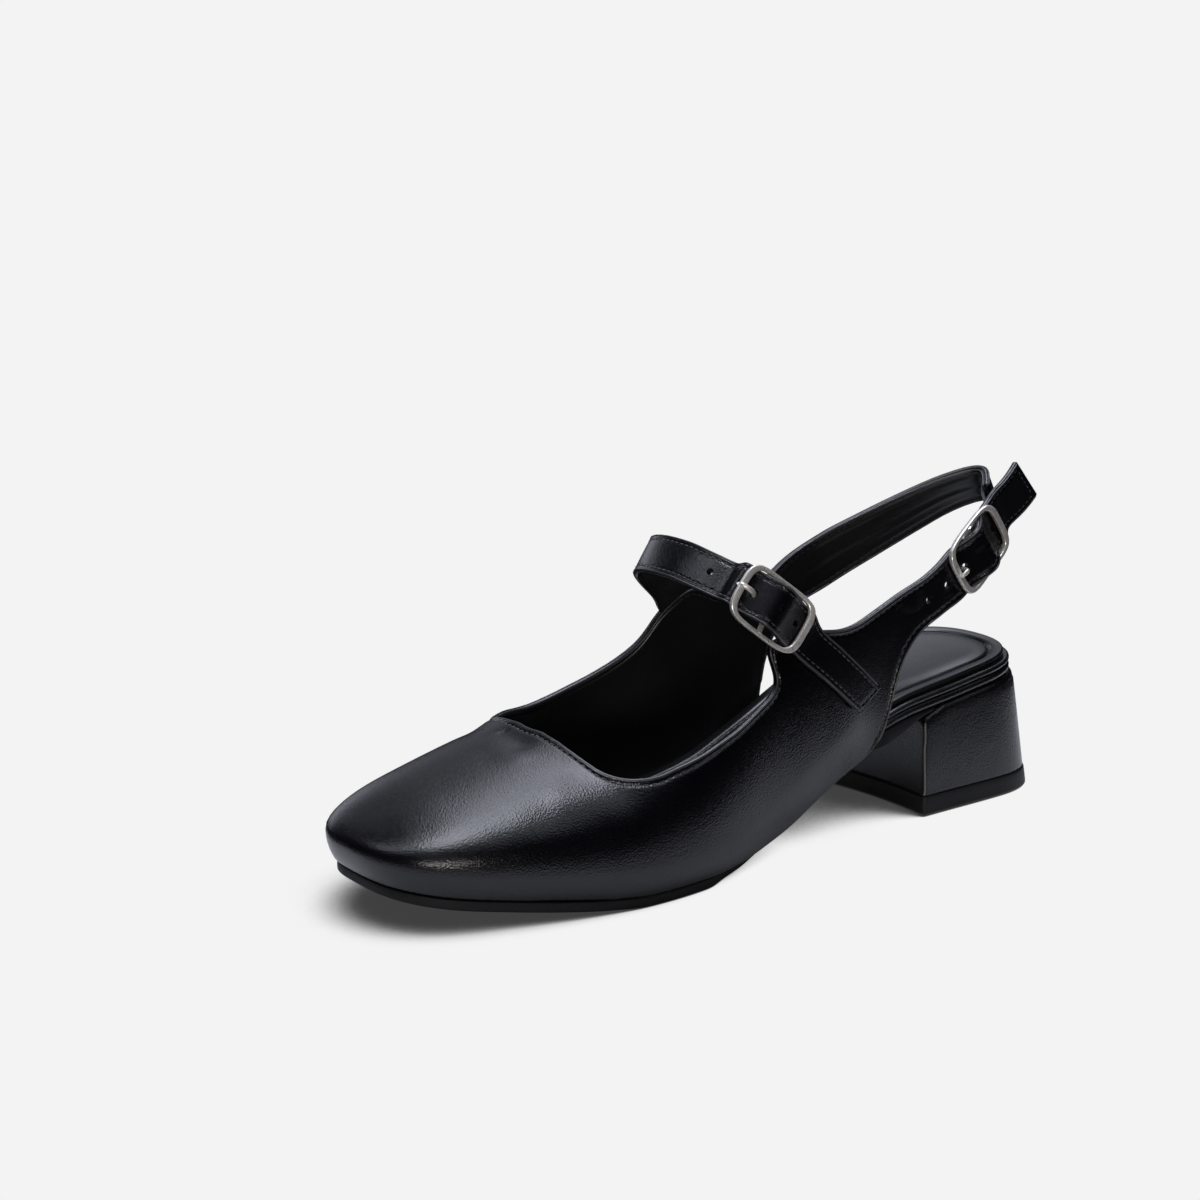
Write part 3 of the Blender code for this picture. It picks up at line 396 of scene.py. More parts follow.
def plate_grid(stations, inset, across, top, bottom, back=SEAT_BACK, seat_r=SEAT_R):
    """two grids of points, a row per station, from the inner edge to the outer edge"""
    A, B = [], []
    for s in stations:
        i = float(inset(s)); c = float(axis_x(s))
        lo = c - float(outline_half(s, -1, i, back, seat_r)); hi = c + float(outline_half(s, 1, i, back, seat_r))
        x = lo + (hi - lo) * across; e = 2 * across - 1
        A.append(np.column_stack([x, np.full(len(x), s), top(s, e)]))
        B.append(np.column_stack([x, np.full(len(x), s), bottom(s, e)]))
    return np.array(A), np.array(B)


ACROSS = 0.5 - 0.5 * np.cos(np.linspace(0, math.pi, 9))
flat = lambda s, e, v: np.full(np.shape(e), float(v))


def sheet_faces(ni, nj):
    """faces of a closed slab made from two ni x nj grids, first grid up"""
    n = ni * nj; F = []
    for i in range(ni - 1):
        for j in range(nj - 1):
            a, b, c, d = i * nj + j, i * nj + j + 1, (i + 1) * nj + j + 1, (i + 1) * nj + j
            F.append((a, b, c, d)); F.append((d + n, c + n, b + n, a + n))
    ring = ([(0, j) for j in range(nj)] + [(i, nj - 1) for i in range(1, ni)]
            + [(ni - 1, j) for j in range(nj - 2, -1, -1)] + [(i, 0) for i in range(ni - 2, 0, -1)])
    ids = [i * nj + j for i, j in ring]
    for p, q in zip(ids, ids[1:] + ids[:1]):
        F.append((q, p, p + n, q + n))
    return F


# ---- sole
def sole_inset(s):
    return 2.4 * step01(s, 71, 78) * (1 - step01(s, 141, 150)) + 0.8 * step01(s, 141, 150)


def board_inset(s):
    return 2.4 * step01(s, 71, 78)


BOARD_TOP = mono([0, 66, 90, 112, 245], [5.2, 5.2, 3.6, 2.4, 2.2])
SOCK_T = mono([0, 60, 110, 245], [2.4, 2.2, 1.5, 1.3])
DISH = mono([0, 25, 60, 100, 150, 245], [1.6, 2.0, 1.6, 1.0, 0.8, 0.8])
seat_rows = SEAT_BACK + end_rows(9, SEAT_R, SEAT_N)
toe_edge = lambda inset: np.concatenate([[212.0], LEN - inset - end_rows(9, TOE_R - inset, TOE_N)[::-1]])
sole_s = np.concatenate([[51, 54, 58, 63, 68, 71, 74, 78, 84, 90, 97, 104, 112, 120, 128, 136, 141, 145, 148, 156, 164, 172, 178, 184, 191, 199, 206], toe_edge(0.8)])
OUTSOLE = plate_grid(sole_s, sole_inset, ACROSS, lambda s, e: flat(s, e, feather(s) - 0.15), lambda s, e: flat(s, e, ground(s)))
board_s = np.concatenate([seat_rows, [36, 43, 50, 58, 66, 71, 74, 78, 84, 91, 100, 110, 122, 135, 148, 160, 172, 184, 195, 205], toe_edge(2.4)])
INSOLE_BOARD = plate_grid(board_s, board_inset, ACROSS,
                          lambda s, e: feather(s) + BOARD_TOP(s) - DISH(s) * (1 - e * e),
                          lambda s, e: flat(s, e, feather(s) + 0.15))
sock_seat = SEAT_BACK + 2.0 + end_rows(9, SEAT_R - 2.0, SEAT_N)
sock_s = np.concatenate([sock_seat, [36, 43, 50, 58, 66, 71, 74, 78, 84, 91, 100, 110, 122, 135, 148, 160, 172, 184, 195, 205], toe_edge(3.6)])
SOCK = plate_grid(sock_s, lambda s: 2.0 + 1.6 * step01(s, 71, 78), ACROSS,
                  lambda s, e: feather(s) + BOARD_TOP(s) - DISH(s) * (1 - e * e) + GAP + SOCK_T(s) * (1 - 0.25 * e ** 4),
                  lambda s, e: feather(s) + BOARD_TOP(s) - DISH(s) * (1 - e * e) + GAP)


# ---- heel
def breast_s(x):
    """front of the heel at the ground: slightly hollow, slanting back to the inner side"""
    u = x / 26.0
    return BREAST + 2.0 - 2.2 * u - 2.6 * (1 - u * u)


def heel_ring(z, inset, n_side=9, n_across=9):
    """plan grid of the heel at a height, back row first"""
    v = np.clip(z / 36.0, 0, 1)
    back = HEEL_BACK + (SEAT_BACK - 1.2 - HEEL_BACK) * v ** 0.9 + inset
    flare = 1.6 * (1 - v) - inset + 0.3
    n = 2.5 + 0.9 * (1 - v)
    rows = np.concatenate([back + end_rows(9, SEAT_R, n), [33.0, 40.0, 46.0, 50.5, BREAST - inset]])
    G = []
    for s in rows:
        hb = np.clip((back + SEAT_R - s) / SEAT_R, 0, 1); k = (1 - hb ** n) ** (1 / n)
        lo = (float(med_x(s)) - flare) * k; hi = (float(lat_x(s)) + flare) * k
        x = lo + (hi - lo) * ACROSS
        w = float(step01(s, 30, BREAST)); ss = s + w * (breast_s(x) - BREAST)
        G.append(np.column_stack([x, ss]))
    return np.array(G)


def heel_grid(z_of, zplan, inset):
    P = heel_ring(zplan, inset)
    return np.concatenate([P, z_of(P[..., 0], P[..., 1])[..., None]], -1)


def block_top(x, s):
    w = step01(s, 45.5, 50.3)
    return (feather(s) - 0.15) * (1 - w) + (ground(s) - GAP) * w


heel_levels = [heel_grid(block_top, 36.0, 0.0), heel_grid(lambda x, s: np.full(x.shape, LIFT_H + GAP), LIFT_H, 0.0)]
HEEL_BLOCK = (heel_levels[0], heel_levels[1])
TOP_LIFT = (heel_grid(lambda x, s: np.full(x.shape, LIFT_H), LIFT_H, -0.35), heel_grid(lambda x, s: np.zeros(x.shape), 0.0, -0.2))

# ---- upper
ROWS = np.array([0, 0.045, 0.10, 0.19, 0.33, 0.5, 0.67, 0.84, 1.0])


def spread(k0, k1, step):
    return np.linspace(k0, k1, max(2, int(round((k1 - k0) / step)) + 1))


def outer_face(u, thick):
    """height of a strap's outer face over the buckle plane"""
    low = -(BAR_R + GAP); high = -BAR_SINK + BAR_R + 0.6 + GORE_T + GAP + thick
    return low + (high - low) * np.cos(np.clip(u / (FRAME_A - 1.6), -1, 1) * math.pi / 2) ** 2


def weave(P, frame, thick, near=1.5, far=9.0, face=0.0, extra=0.0):
    """press a strap's outer face into its path through a buckle: under both end bars, over the centre bar.
    face is the depth of P below the outer face"""
    c, L, S, N = frame_axes(**frame)
    u = (P - c) @ L; v = (P - c) @ S; w = (P - c) @ N
    target = outer_face(u, thick) - face
    k = 1 - step01(np.abs(u), FRAME_A + near, FRAME_A + far)
    k = k * (1 - step01(np.abs(v), 14, 20)) * (1 - step01(np.abs(w), 14, 20))
    room = FRAME_B - BAR_R - GAP - 0.15 + extra
    b, t = v[..., :1], v[..., -1:]
    fit = room * (2 * (v - b) / (t - b) - 1) * np.sign(t - b)
    kf = k + (1 - k) * (1 - step01(np.abs(u), FRAME_A + near, FRAME_A + 24)) * (1 - step01(np.abs(w), 14, 20))
    return P + (((target - w) * k)[..., None]) * N + (((fit - v) * kf)[..., None]) * S


def k_at(E, edge, s):
    """chord-length value where an edge curve passes a row"""
    A = E.B if edge == 'b' else E.T
    return E.k[int(np.argmin(np.abs(A[:, 1] - s)))]


ko = OUTER.k; ki = INNER.k
cols_out = np.concatenate([spread(ko[0], ko[5], 3.0), spread(ko[5], ko[9], 4.5)[1:], spread(ko[9], ko[-1], 6.0)[1:]])
j0 = len(IN_QUARTER['bs'])
cols_in = np.concatenate([spread(ki[0], ki[j0], 6.0), spread(ki[j0], ki[j0 + 9], 5.0)[1:], spread(ki[j0 + 9], ki[-1], 2.6)[1:]])
fan = np.concatenate([np.linspace(0, 42, 8)[1:], np.linspace(42, 138, 23)[1:], np.linspace(138, 180, 8)[1:-1]])
OUT = np.array([world(resample(OUTER.column(k), ROWS)) for k in cols_out]
               + [world(resample(fan_column(p), ROWS)) for p in fan]
               + [world(resample(INNER.column(k), ROWS)) for k in cols_in])
n_strap = len(spread(ko[0], ko[5], 3.0)) + 4
OUT[:n_strap] = weave(OUT[:n_strap], SLING_FRAME, WALL)


def grid_normals(G):
    dk = np.gradient(G, axis=0); dr = np.gradient(G, axis=1)
    N = np.cross(dr, dk)
    return N / np.linalg.norm(N, axis=-1, keepdims=True)


UPPER = (OUT, OUT - grid_normals(OUT) * WALL)

# ---- instep strap: upper edge and lower edge of each section, on the strap's middle
BAND = table(('ux', 'us', 'uz', 'lx', 'ls', 'lz'), [
    (-24.2, 101.0, 64.0, -24.4, 110.8, 56.0),
    (-25.0, 107.0, 71.2, -25.2, 117.0, 62.8),
    (-25.9, 113.5, 77.8, -26.2, 122.5, 69.4),
    (-26.2, 119.3, 83.2, -26.3, 127.5, 74.2),
    (-24.6, 123.9, 87.6, -24.8, 130.8, 77.6),
    (-20.5, 126.8, 90.2, -20.8, 133.3, 79.8),
    (-14.0, 128.6, 91.8, -14.2, 136.3, 81.6),
    (-6.0, 129.4, 92.4, -6.2, 138.0, 82.6),
    (2.0, 130.0, 92.4, 2.0, 138.8, 82.9),
    (9.0, 130.2, 91.6, 9.5, 138.6, 82.0),
    (15.0, 129.2, 90.4, 16.0, 137.8, 81.0),
    (20.0, 127.6, 88.9, 21.2, 136.6, 79.8)])
TAIL = table(('us', 'uz', 'ls', 'lz'), [
    (107.0, 69.9, 115.6, 61.6), (100.0, 64.0, 109.2, 56.6), (92.0, 57.2, 101.4, 50.4), (85.6, 51.7, 95.4, 45.4), (80.4, 47.2, 90.5, 41.4)])


def on_quarter(s, z, lift):
    return np.stack([side_x(s, z, 1) + lift, s, z], -1)


root = WALL + GAP + STRAP_T / 2 + 0.35
for edge in 'ul':
    i = slice(0, 2)
    BAND[edge + 'x'][i] = side_x(BAND[edge + 's'][i], BAND[edge + 'z'][i], -1) + root
bu = world(np.stack([BAND['ux'], BAND['us'], BAND['uz']], -1)); bl = world(np.stack([BAND['lx'], BAND['ls'], BAND['lz']], -1))
lift = GAP + STRAP_T / 2 + 0.15
tu = world(on_quarter(TAIL['us'], TAIL['uz'], lift)); tl = world(on_quarter(TAIL['ls'], TAIL['lz'], lift))
fc, fL, fS, fN = frame_axes(**INSTEP_FRAME)
half_w = 6.3
mid_high = -BAR_SINK + BAR_R + 0.25 + GORE_T + GAP + STRAP_T / 2
mid_low = -(BAR_R + GAP) - STRAP_T / 2
uu = np.linspace(-FRAME_A - 0.9, FRAME_A + 0.9, 15)
ww = outer_face(uu, STRAP_T) - STRAP_T / 2
side_play = 0.7      # the strap lies against the frame's upper side
inu = fc + np.outer(uu, fL) - fS * (half_w + side_play) + np.outer(ww, fN)
inl = fc + np.outer(uu, fL) + fS * (half_w - side_play) + np.outer(ww, fN)
PU = np.concatenate([bu, inu, tu]); PL = np.concatenate([bl, inl, tl])


def smooth_path(P, Q, step):
    """both edges through their rows, by shared chord length"""
    d = (np.linalg.norm(np.diff(P, axis=0), axis=1) + np.linalg.norm(np.diff(Q, axis=0), axis=1)) / 2
    k = np.concatenate([[0], np.cumsum(d)]); q = np.linspace(0, k[-1], int(k[-1] / step) + 1)
    return (np.stack([mono(k, P[:, i])(q) for i in range(3)], -1), np.stack([mono(k, Q[:, i])(q) for i in range(3)], -1))


def ribbon(P, Q, thick, outward):
    """closed strip between two edges; outward(i, T, W) picks the side its face points to"""
    M = (P + Q) / 2; T = np.gradient(M, axis=0); Wd = Q - P
    N = np.cross(Wd, T); N = N / np.linalg.norm(N, axis=1, keepdims=True)
    for i in range(len(N)):
        if i == 0:
            if N[0] @ outward < 0:
                N[0] = -N[0]
        elif N[i] @ N[i - 1] < 0:
            N[i] = -N[i]
    h = N * thick / 2
    V = np.stack([P + h, Q + h, Q - h, P - h], 1)
    return V


def ribbon_faces(n):
    F = [(0, 1, 2, 3), tuple(reversed(range(4 * (n - 1), 4 * n)))]
    for i in range(n - 1):
        for j in range(4):
            a, b = 4 * i + j, 4 * i + (j + 1) % 4
            F.append((a, a + 4, b + 4, b))
    return F


SU, SL = smooth_path(PU, PL, 3.0)
STRAP = ribbon(SU, SL, STRAP_T, np.array([-1.0, 0, 0]))


# ---- elastics: from the upper, then folded round the centre bar
def bar_fold(frame, width, thick, tail=1.2, lead=None):
    """path in the buckle's own axes: in under the strap and the bar, round the bar, back over it"""
    c, L, S, N = frame_axes(**frame); r = BAR_R + 0.25 + GORE_T / 2
    uw = [(u, min(-BAR_SINK - r, float(outer_face(u, thick)) - thick - GAP - GORE_T / 2 - 0.2)) for u in (FRAME_A + 1.2, FRAME_A - 0.6, 9.2, 7.2, 5.2, 3.2, 1.4)]
    uw = lead or uw
    uw += [(-r * math.sin(a), -BAR_SINK - r * math.cos(a)) for a in np.linspace(0, math.pi, 7)]
    uw += [(tail / 2, -BAR_SINK + r), (tail, -BAR_SINK + r)]
    M = np.array([c + L * u + N * w for u, w in uw])
    return M - S * width / 2, M + S * width / 2


g1u, g1l = bar_fold(INSTEP_FRAME, 11.0, STRAP_T, lead=[(12.5, -8.0), (10.0, -7.4), (7.4, -6.3), (5.0, -4.7), (3.0, -3.3), (1.3, -2.65)])
inside = -(WALL + GAP + GORE_T / 2 + 0.9)
a1u = world(on_quarter(np.array([102.0, 105.0]), np.array([57.0, 61.5]), inside))
a1l = world(on_quarter(np.array([110.6, 113.6]), np.array([50.3, 54.8]), inside))
GU, GL = smooth_path(np.concatenate([a1u, g1u]), np.concatenate([a1l, g1l]), 1.2)
INSTEP_GORE = ribbon(GU, GL, GORE_T, np.array([1.0, 0, 0]))

sc, sL, sS, sN = frame_axes(**SLING_FRAME)
g2t, g2b = bar_fold(SLING_FRAME, 11.5, WALL)
end_b, end_t = INNER.column(ki[-1])[0], INNER.column(ki[-1])[-1]
on = grid_normals(OUT)


def sling_inner(i, f, depth):
    """a point under the sling's inner face, i columns from its end, f of the way up"""
    r = int(round(f * (len(ROWS) - 1)))
    return OUT[i, r] - on[i, 4] * depth


dg = WALL + GAP + GORE_T / 2 + 0.1
anchor_t = np.array([sling_inner(i, 0.88, dg) for i in (-3, -2, -1)]); anchor_b = np.array([sling_inner(i, 0.25, dg) for i in (-3, -2, -1)])
QU, QL = smooth_path(np.concatenate([anchor_t, g2t]), np.concatenate([anchor_b, g2b]), 1.2)
SLING_GORE = ribbon(QU, QL, GORE_T, np.array([1.0, 0, 0]))


# ---- buckles
def ring_points(frame, n=40, sides=8, power=4.2):
    """wire of a rounded rectangle in the buckle's plane"""
    c, L, S, N = frame_axes(**frame)
    t = np.linspace(0, 2 * math.pi, n, endpoint=False); e = 2 / power
    u = FRAME_A * np.sign(np.cos(t)) * np.abs(np.cos(t)) ** e; v = FRAME_B * np.sign(np.sin(t)) * np.abs(np.sin(t)) ** e
    C = np.stack([u, v], -1); T = np.roll(C, -1, 0) - np.roll(C, 1, 0); R = np.stack([T[:, 1], -T[:, 0]], -1)
    R = R / np.linalg.norm(R, axis=1, keepdims=True)
    out = []
    for i in range(n):
        for j in range(sides):
            a = 2 * math.pi * (j + 0.5) / sides; q = C[i] + R[i] * BAR_R * math.cos(a)
            out.append(c + L * q[0] + S * q[1] + N * BAR_R * math.sin(a))
    F = [(i * sides + j, i * sides + (j + 1) % sides, ((i + 1) % n) * sides + (j + 1) % sides, ((i + 1) % n) * sides + j)
         for i in range(n) for j in range(sides)]
    return np.array(out), F


def rod(p, q, r0, r1, sides=10):
    d = unit(q - p); a = unit(np.cross(d, [0.31, 0.52, 0.79])); b = np.cross(d, a)
    t = 2 * math.pi * np.arange(sides) / sides
    ring = np.cos(t)[:, None] * a + np.sin(t)[:, None] * b
    V = np.concatenate([p + ring * r0, q + ring * r1])
    F = [tuple(range(sides)), tuple(reversed(range(sides, 2 * sides)))]
    F += [(i, i + sides, (i + 1) % sides + sides, (i + 1) % sides) for i in range(sides)]
    return V, F


def centre_bar(frame):
    c, L, S, N = frame_axes(**frame)
    return rod(c - N * BAR_SINK - S * (FRAME_B + 0.1), c - N * BAR_SINK + S * (FRAME_B + 0.1), BAR_R - 0.05, BAR_R - 0.05)


def prong(frame, thick):
    c, L, S, N = frame_axes(**frame); r = 0.8
    high = -BAR_SINK + BAR_R + 0.6 + GORE_T + GAP + thick
    return rod(c - L * 0.5 + N * (high + GAP + r), c - L * (FRAME_A + 0.9) + N * (BAR_R + GAP + r), r, r * 0.75)


every = [world(np.array(A)).reshape(-1, 3) for A in (OUTSOLE, TOP_LIFT)] + [np.array(UPPER).reshape(-1, 3)]
lo = np.min([e.min(0) for e in every], 0); hi = np.max([e.max(0) for e in every], 0)
SHIFT = np.array([(lo[0] + hi[0]) / 2, (lo[1] + hi[1]) / 2, 0.0])



# ================================================================== fine surfaces
EDGE = np.array([0, .04, .14, .3, .5, .72, .95, 1.25, 1.6, 1.9, 2.2, 2.5, 2.9, 3.4, 4.1])
STITCH_AT = 2.2      # seam distance from a folded edge


def even(G, n, keep=None):
    """soften a grid along its first axis, n passes, ends fixed; keep holds rows back (0 to 1)"""
    G = G.copy()
    for _ in range(n):
        D = (G[:-2] + G[2:]) / 2 - G[1:-1]
        w = .5 if keep is None else .5 * (1 - keep[1:-1]).reshape(-1, *[1] * (G.ndim - 1))
        G[1:-1] += D * w
    return G


def even_loop(P, n):
    for _ in range(n):
        P = P * .5 + (np.roll(P, 1, 0) + np.roll(P, -1, 0)) * .25
    return P


def along(P):
    return np.concatenate([[0], np.cumsum(np.linalg.norm(np.diff(P, axis=0), axis=1))])


def cubic_at(G, F):
    """smooth curve through each row of points G (K, M, 3), read at the fractions F (K, R)"""
    K, M = G.shape[:2]
    q = np.clip(F, 0, 1) * (M - 1); i = np.clip(q.astype(int), 0, M - 2); t = (q - i)[..., None]
    k = np.arange(K)[:, None]
    a, b = G[k, i], G[k, i + 1]
    p = np.where((i > 0)[..., None], G[k, np.maximum(i - 1, 0)], 2 * a - b)
    n = np.where((i < M - 2)[..., None], G[k, np.minimum(i + 2, M - 1)], 2 * b - a)
    m0 = (b - p) / 2; m1 = (n - a) / 2
    return (a * (1 + 2 * t) * (1 - t) ** 2 + m0 * t * (1 - t) ** 2 + b * t * t * (3 - 2 * t) + m1 * t * t * (t - 1))


def unit_rows(N):
    return N / np.maximum(np.linalg.norm(N, axis=-1, keepdims=True), 1e-12)


class Skin:
    """a strip or shell of even thickness on a grid G (K, M, 3); rows run across it, edge to edge.
    out and inn are the offsets of its two faces along the normal"""
    def __init__(self, G, out, inn, n_mid=24, ends=(False, False), corner=(0.0, 0.0), flip=False, normals=3):
        K = len(G)
        mid = G[:, G.shape[1] // 2]; a = along(mid)
        self.de = np.minimum(a if ends[0] else 1e3, (a[-1] - a) if ends[1] else 1e3) * np.ones(K)
        self.s = a
        for e, dist in ((0, a), (1, a[-1] - a)):
            R = corner[e]
            if R > 0:
                w = along_rows(G); near = dist < R
                ins = np.where(near, R - np.sqrt(np.maximum(R * R - (R - np.minimum(dist, R)) ** 2, 0)), 0)
                f = ins / w
                F = f[:, None] + (1 - 2 * f[:, None]) * np.linspace(0, 1, G.shape[1])[None]
                G = cubic_at(G, F)
        L = along_rows(G)
        d = np.concatenate([np.zeros((K, 1)), np.cumsum(np.linalg.norm(np.diff(G, axis=1), axis=2), axis=1)], 1)
        sc = np.minimum(1.0, (L / 2 - .4) / EDGE[-1])
        lo = EDGE[None] * sc[:, None]; hi = L[:, None] - lo[:, ::-1]
        m = np.linspace(0, 1, n_mid + 2)[1:-1]
        midr = lo[:, -1:] + (hi[:, :1] - lo[:, -1:]) * m[None]
        rows = np.concatenate([lo, midr, hi], 1)
        base = np.linspace(0, 1, G.shape[1])
        F = np.array([np.interp(rows[i], d[i], base) for i in range(K)])
        self.P = cubic_at(G, F)
        Nb = np.cross(np.gradient(G, axis=1), np.gradient(G, axis=0))
        Nb = unit_rows(Nb) * (-1 if flip else 1)
        Nb = unit_rows(even(Nb, normals))
        self.N = unit_rows(cubic_at(Nb, F))
        self.db = rows; self.dt = L[:, None] - rows
        self.r = abs(out - inn) / 2; self.out = out; self.inn = inn
        self.d = np.minimum(np.minimum(self.db, self.dt), self.de[:, None])
        r = self.r; q = np.minimum(self.d, r)
        self.round = r - np.sqrt(np.maximum(r * r - (r - q) ** 2, 0))
        self.eo = np.zeros(self.P.shape[:2]); self.ei = np.zeros(self.P.shape[:2])
        self.rows = rows; self.L = L

    def faces_at(self):
        so = 1 if self.out > self.inn else -1
        A = self.P + self.N * (self.out - so * self.round + self.eo * so)[..., None]
        B = self.P + self.N * (self.inn + so * self.round - self.ei * so)[..., None]
        return A, B

    def hem(self, free, bead=.19, groove=.26, at=STITCH_AT, inner=1.0):
        """rolled edge and stitched groove where free (K, R) is 1"""
        p = bead * np.exp(-((self.d - 1.15) / .55) ** 2) - groove * np.exp(-((self.d - at) / .34) ** 2)
        p = p * np.clip(self.d / .7, 0, 1)
        self.eo += p * free; self.ei += p * free * inner

    def mesh(self, name, mats):
        A, B = self.faces_at(); K, R = A.shape[:2]
        i = np.arange((K - 1) * (R - 1)); a = (i // (R - 1)) * R + i % (R - 1)
        Q = np.stack([a, a + 1, a + R + 1, a + R], 1)
        F = np.concatenate([Q, Q[:, ::-1] + K * R])
        V = np.concatenate([A.reshape(-1, 3), B.reshape(-1, 3)])
        slot = np.concatenate([np.zeros(len(Q), int), np.ones(len(Q), int) * (len(mats) > 1)])
        return solid(name, V, F, mats, slot)

    def point(self, edge, dist, lift=0.0, inner=False):
        """a line at a distance from the bottom or top edge, on the finished face, with its normals"""
        D = self.db if edge == 'b' else self.dt
        A, B = self.faces_at(); S = B if inner else A
        K, R = D.shape
        P = np.zeros((K, 3)); N = np.zeros((K, 3))
        for i in range(K):
            x = D[i] if edge == 'b' else D[i][::-1]
            s = S[i] if edge == 'b' else S[i][::-1]; n = self.N[i] if edge == 'b' else self.N[i][::-1]
            for c in range(3):
                P[i, c] = np.interp(dist, x, s[:, c]); N[i, c] = np.interp(dist, x, n[:, c])
        so = (1 if self.out > self.inn else -1) * (-1 if inner else 1)
        N = unit_rows(N) * so
        return P + N * lift, N


def along_rows(G):
    return np.linalg.norm(np.diff(G, axis=1), axis=2).sum(1)


def solid(name, V, F, mats, slot=None, sharp=50.0, weld=True, smooth=True):
    me = bpy.data.meshes.new(name)
    P = (np.asarray(V, float) - SHIFT) * MM
    me.from_pydata(P.tolist(), [], [list(map(int, f)) for f in F])
    if slot is not None:
        me.polygons.foreach_set('material_index', np.asarray(slot, np.int32))
    if weld:
        bm = bmesh.new(); bm.from_mesh(me)
        bmesh.ops.remove_doubles(bm, verts=bm.verts, dist=2e-7)
        bmesh.ops.dissolve_degenerate(bm, edges=bm.edges, dist=1e-8)
        bmesh.ops.recalc_face_normals(bm, faces=bm.faces)
        bm.to_mesh(me); bm.free()
    me.update()
    if smooth:
        me.shade_smooth(); me.set_sharp_from_angle(angle=math.radians(sharp))
    o = bpy.data.objects.new(name, me)
    bpy.context.scene.collection.objects.link(o)
    for m in mats:
        me.materials.append(m)
    return o


class Bag:
    """many small closed forms joined into one piece"""
    def __init__(self):
        self.V, self.F, self.n = [], [], 0

    def add(self, V, F):
        V = np.asarray(V, float); self.V.append(V); self.F += [tuple(i + self.n for i in f) for f in F]; self.n += len(V)

    def tube(self, C, N, rn, rb, sides=6):
        """tube along C; N is its up direction, rn and rb its half height and half width (per point)"""
        C = np.asarray(C, float); T = unit_rows(np.gradient(C, axis=0)); N = unit_rows(N - T * (N * T).sum(1, keepdims=True)); B = np.cross(T, N)
        t = 2 * math.pi * (np.arange(sides) + .5) / sides
        rn = np.broadcast_to(rn, len(C)); rb = np.broadcast_to(rb, len(C))
        V = C[:, None] + B[:, None] * (np.cos(t)[None, :, None] * rb[:, None, None]) + N[:, None] * (np.sin(t)[None, :, None] * rn[:, None, None])
        n = len(C); F = [tuple(range(sides)), tuple(range((n - 1) * sides, n * sides))[::-1]]
        for i in range(n - 1):
            for j in range(sides):
                F.append((i * sides + j, (i + 1) * sides + j, (i + 1) * sides + (j + 1) % sides, i * sides + (j + 1) % sides))
        self.add(V.reshape(-1, 3), F)

    def seam(self, P, N, pitch=2.4, length=1.75, r=.2, lift=.03, start=0.0, stop=None):
        """a row of stitches on a line P with normals N, each dipping in at its ends"""
        a = along(P); stop = a[-1] if stop is None else min(stop, a[-1])
        n = max(0, int((stop - start) / pitch))
        if not n:
            return
        gap = pitch - length
        for i in range(n):
            q = start + (stop - start - n * pitch) / 2 + i * pitch + gap / 2 + np.array([0, .16, .5, .84, 1.0]) * length
            C = np.stack([np.interp(q, a, P[:, c]) for c in range(3)], -1); M = unit_rows(np.stack([np.interp(q, a, N[:, c]) for c in range(3)], -1))
            C = C + M * (np.array([-.2, .02, .06, .02, -.2]) + lift)[:, None]
            self.tube(C, M, r * np.array([.5, .9, 1, .9, .5]) * .85, r * np.array([.55, 1, 1.05, 1, .55]), 6)

    def make(self, name, mats):
        V = np.concatenate(self.V); me = bpy.data.meshes.new(name)
        me.from_pydata(((V - SHIFT) * MM).tolist(), [], self.F)
        bm = bmesh.new(); bm.from_mesh(me); bmesh.ops.recalc_face_normals(bm, faces=bm.faces); bm.to_mesh(me); bm.free()
        me.shade_smooth(); me.set_sharp_from_angle(angle=math.radians(60))
        o = bpy.data.objects.new(name, me); bpy.context.scene.collection.objects.link(o)
        for m in mats:
            me.materials.append(m)
        return o


# ================================================================== materials
def new_material(name):
    m = bpy.data.materials.new(name); m.use_nodes = True
    nt = m.node_tree; p = nt.nodes['Principled BSDF']
    return m, nt, p


def node(nt, kind, **kw):
    n = nt.nodes.new(kind)
    for k, v in kw.items():
        if k in n.inputs.keys() if isinstance(k, str) else False:
            n.inputs[k].default_value = v
        else:
            setattr(n, k, v)
    return n


def ramp(nt, fac, stops):
    n = nt.nodes.new('ShaderNodeValToRGB')
    e = n.color_ramp.elements
    while len(e) > 1:
        e.remove(e[-1])
    e[0].position = stops[0][0]; e[0].color = (*stops[0][1], 1)
    for p, c in stops[1:]:
        q = e.new(p); q.color = (*c, 1)
    nt.links.new(fac, n.inputs['Fac'])
    return n


def rng(nt, value, a, b, c, d, smooth=False):
    n = nt.nodes.new('ShaderNodeMapRange')
    n.interpolation_type = 'SMOOTHSTEP' if smooth else 'LINEAR'
    for k, v in (('From Min', a), ('From Max', b), ('To Min', c), ('To Max', d)):
        n.inputs[k].default_value = v
    nt.links.new(value, n.inputs['Value'])
    return n


def maths(nt, op, a, b):
    n = nt.nodes.new('ShaderNodeMath'); n.operation = op
    for i, v in enumerate((a, b)):
        if isinstance(v, (int, float)):
            n.inputs[i].default_value = v
        else:
            nt.links.new(v, n.inputs[i])
    return n


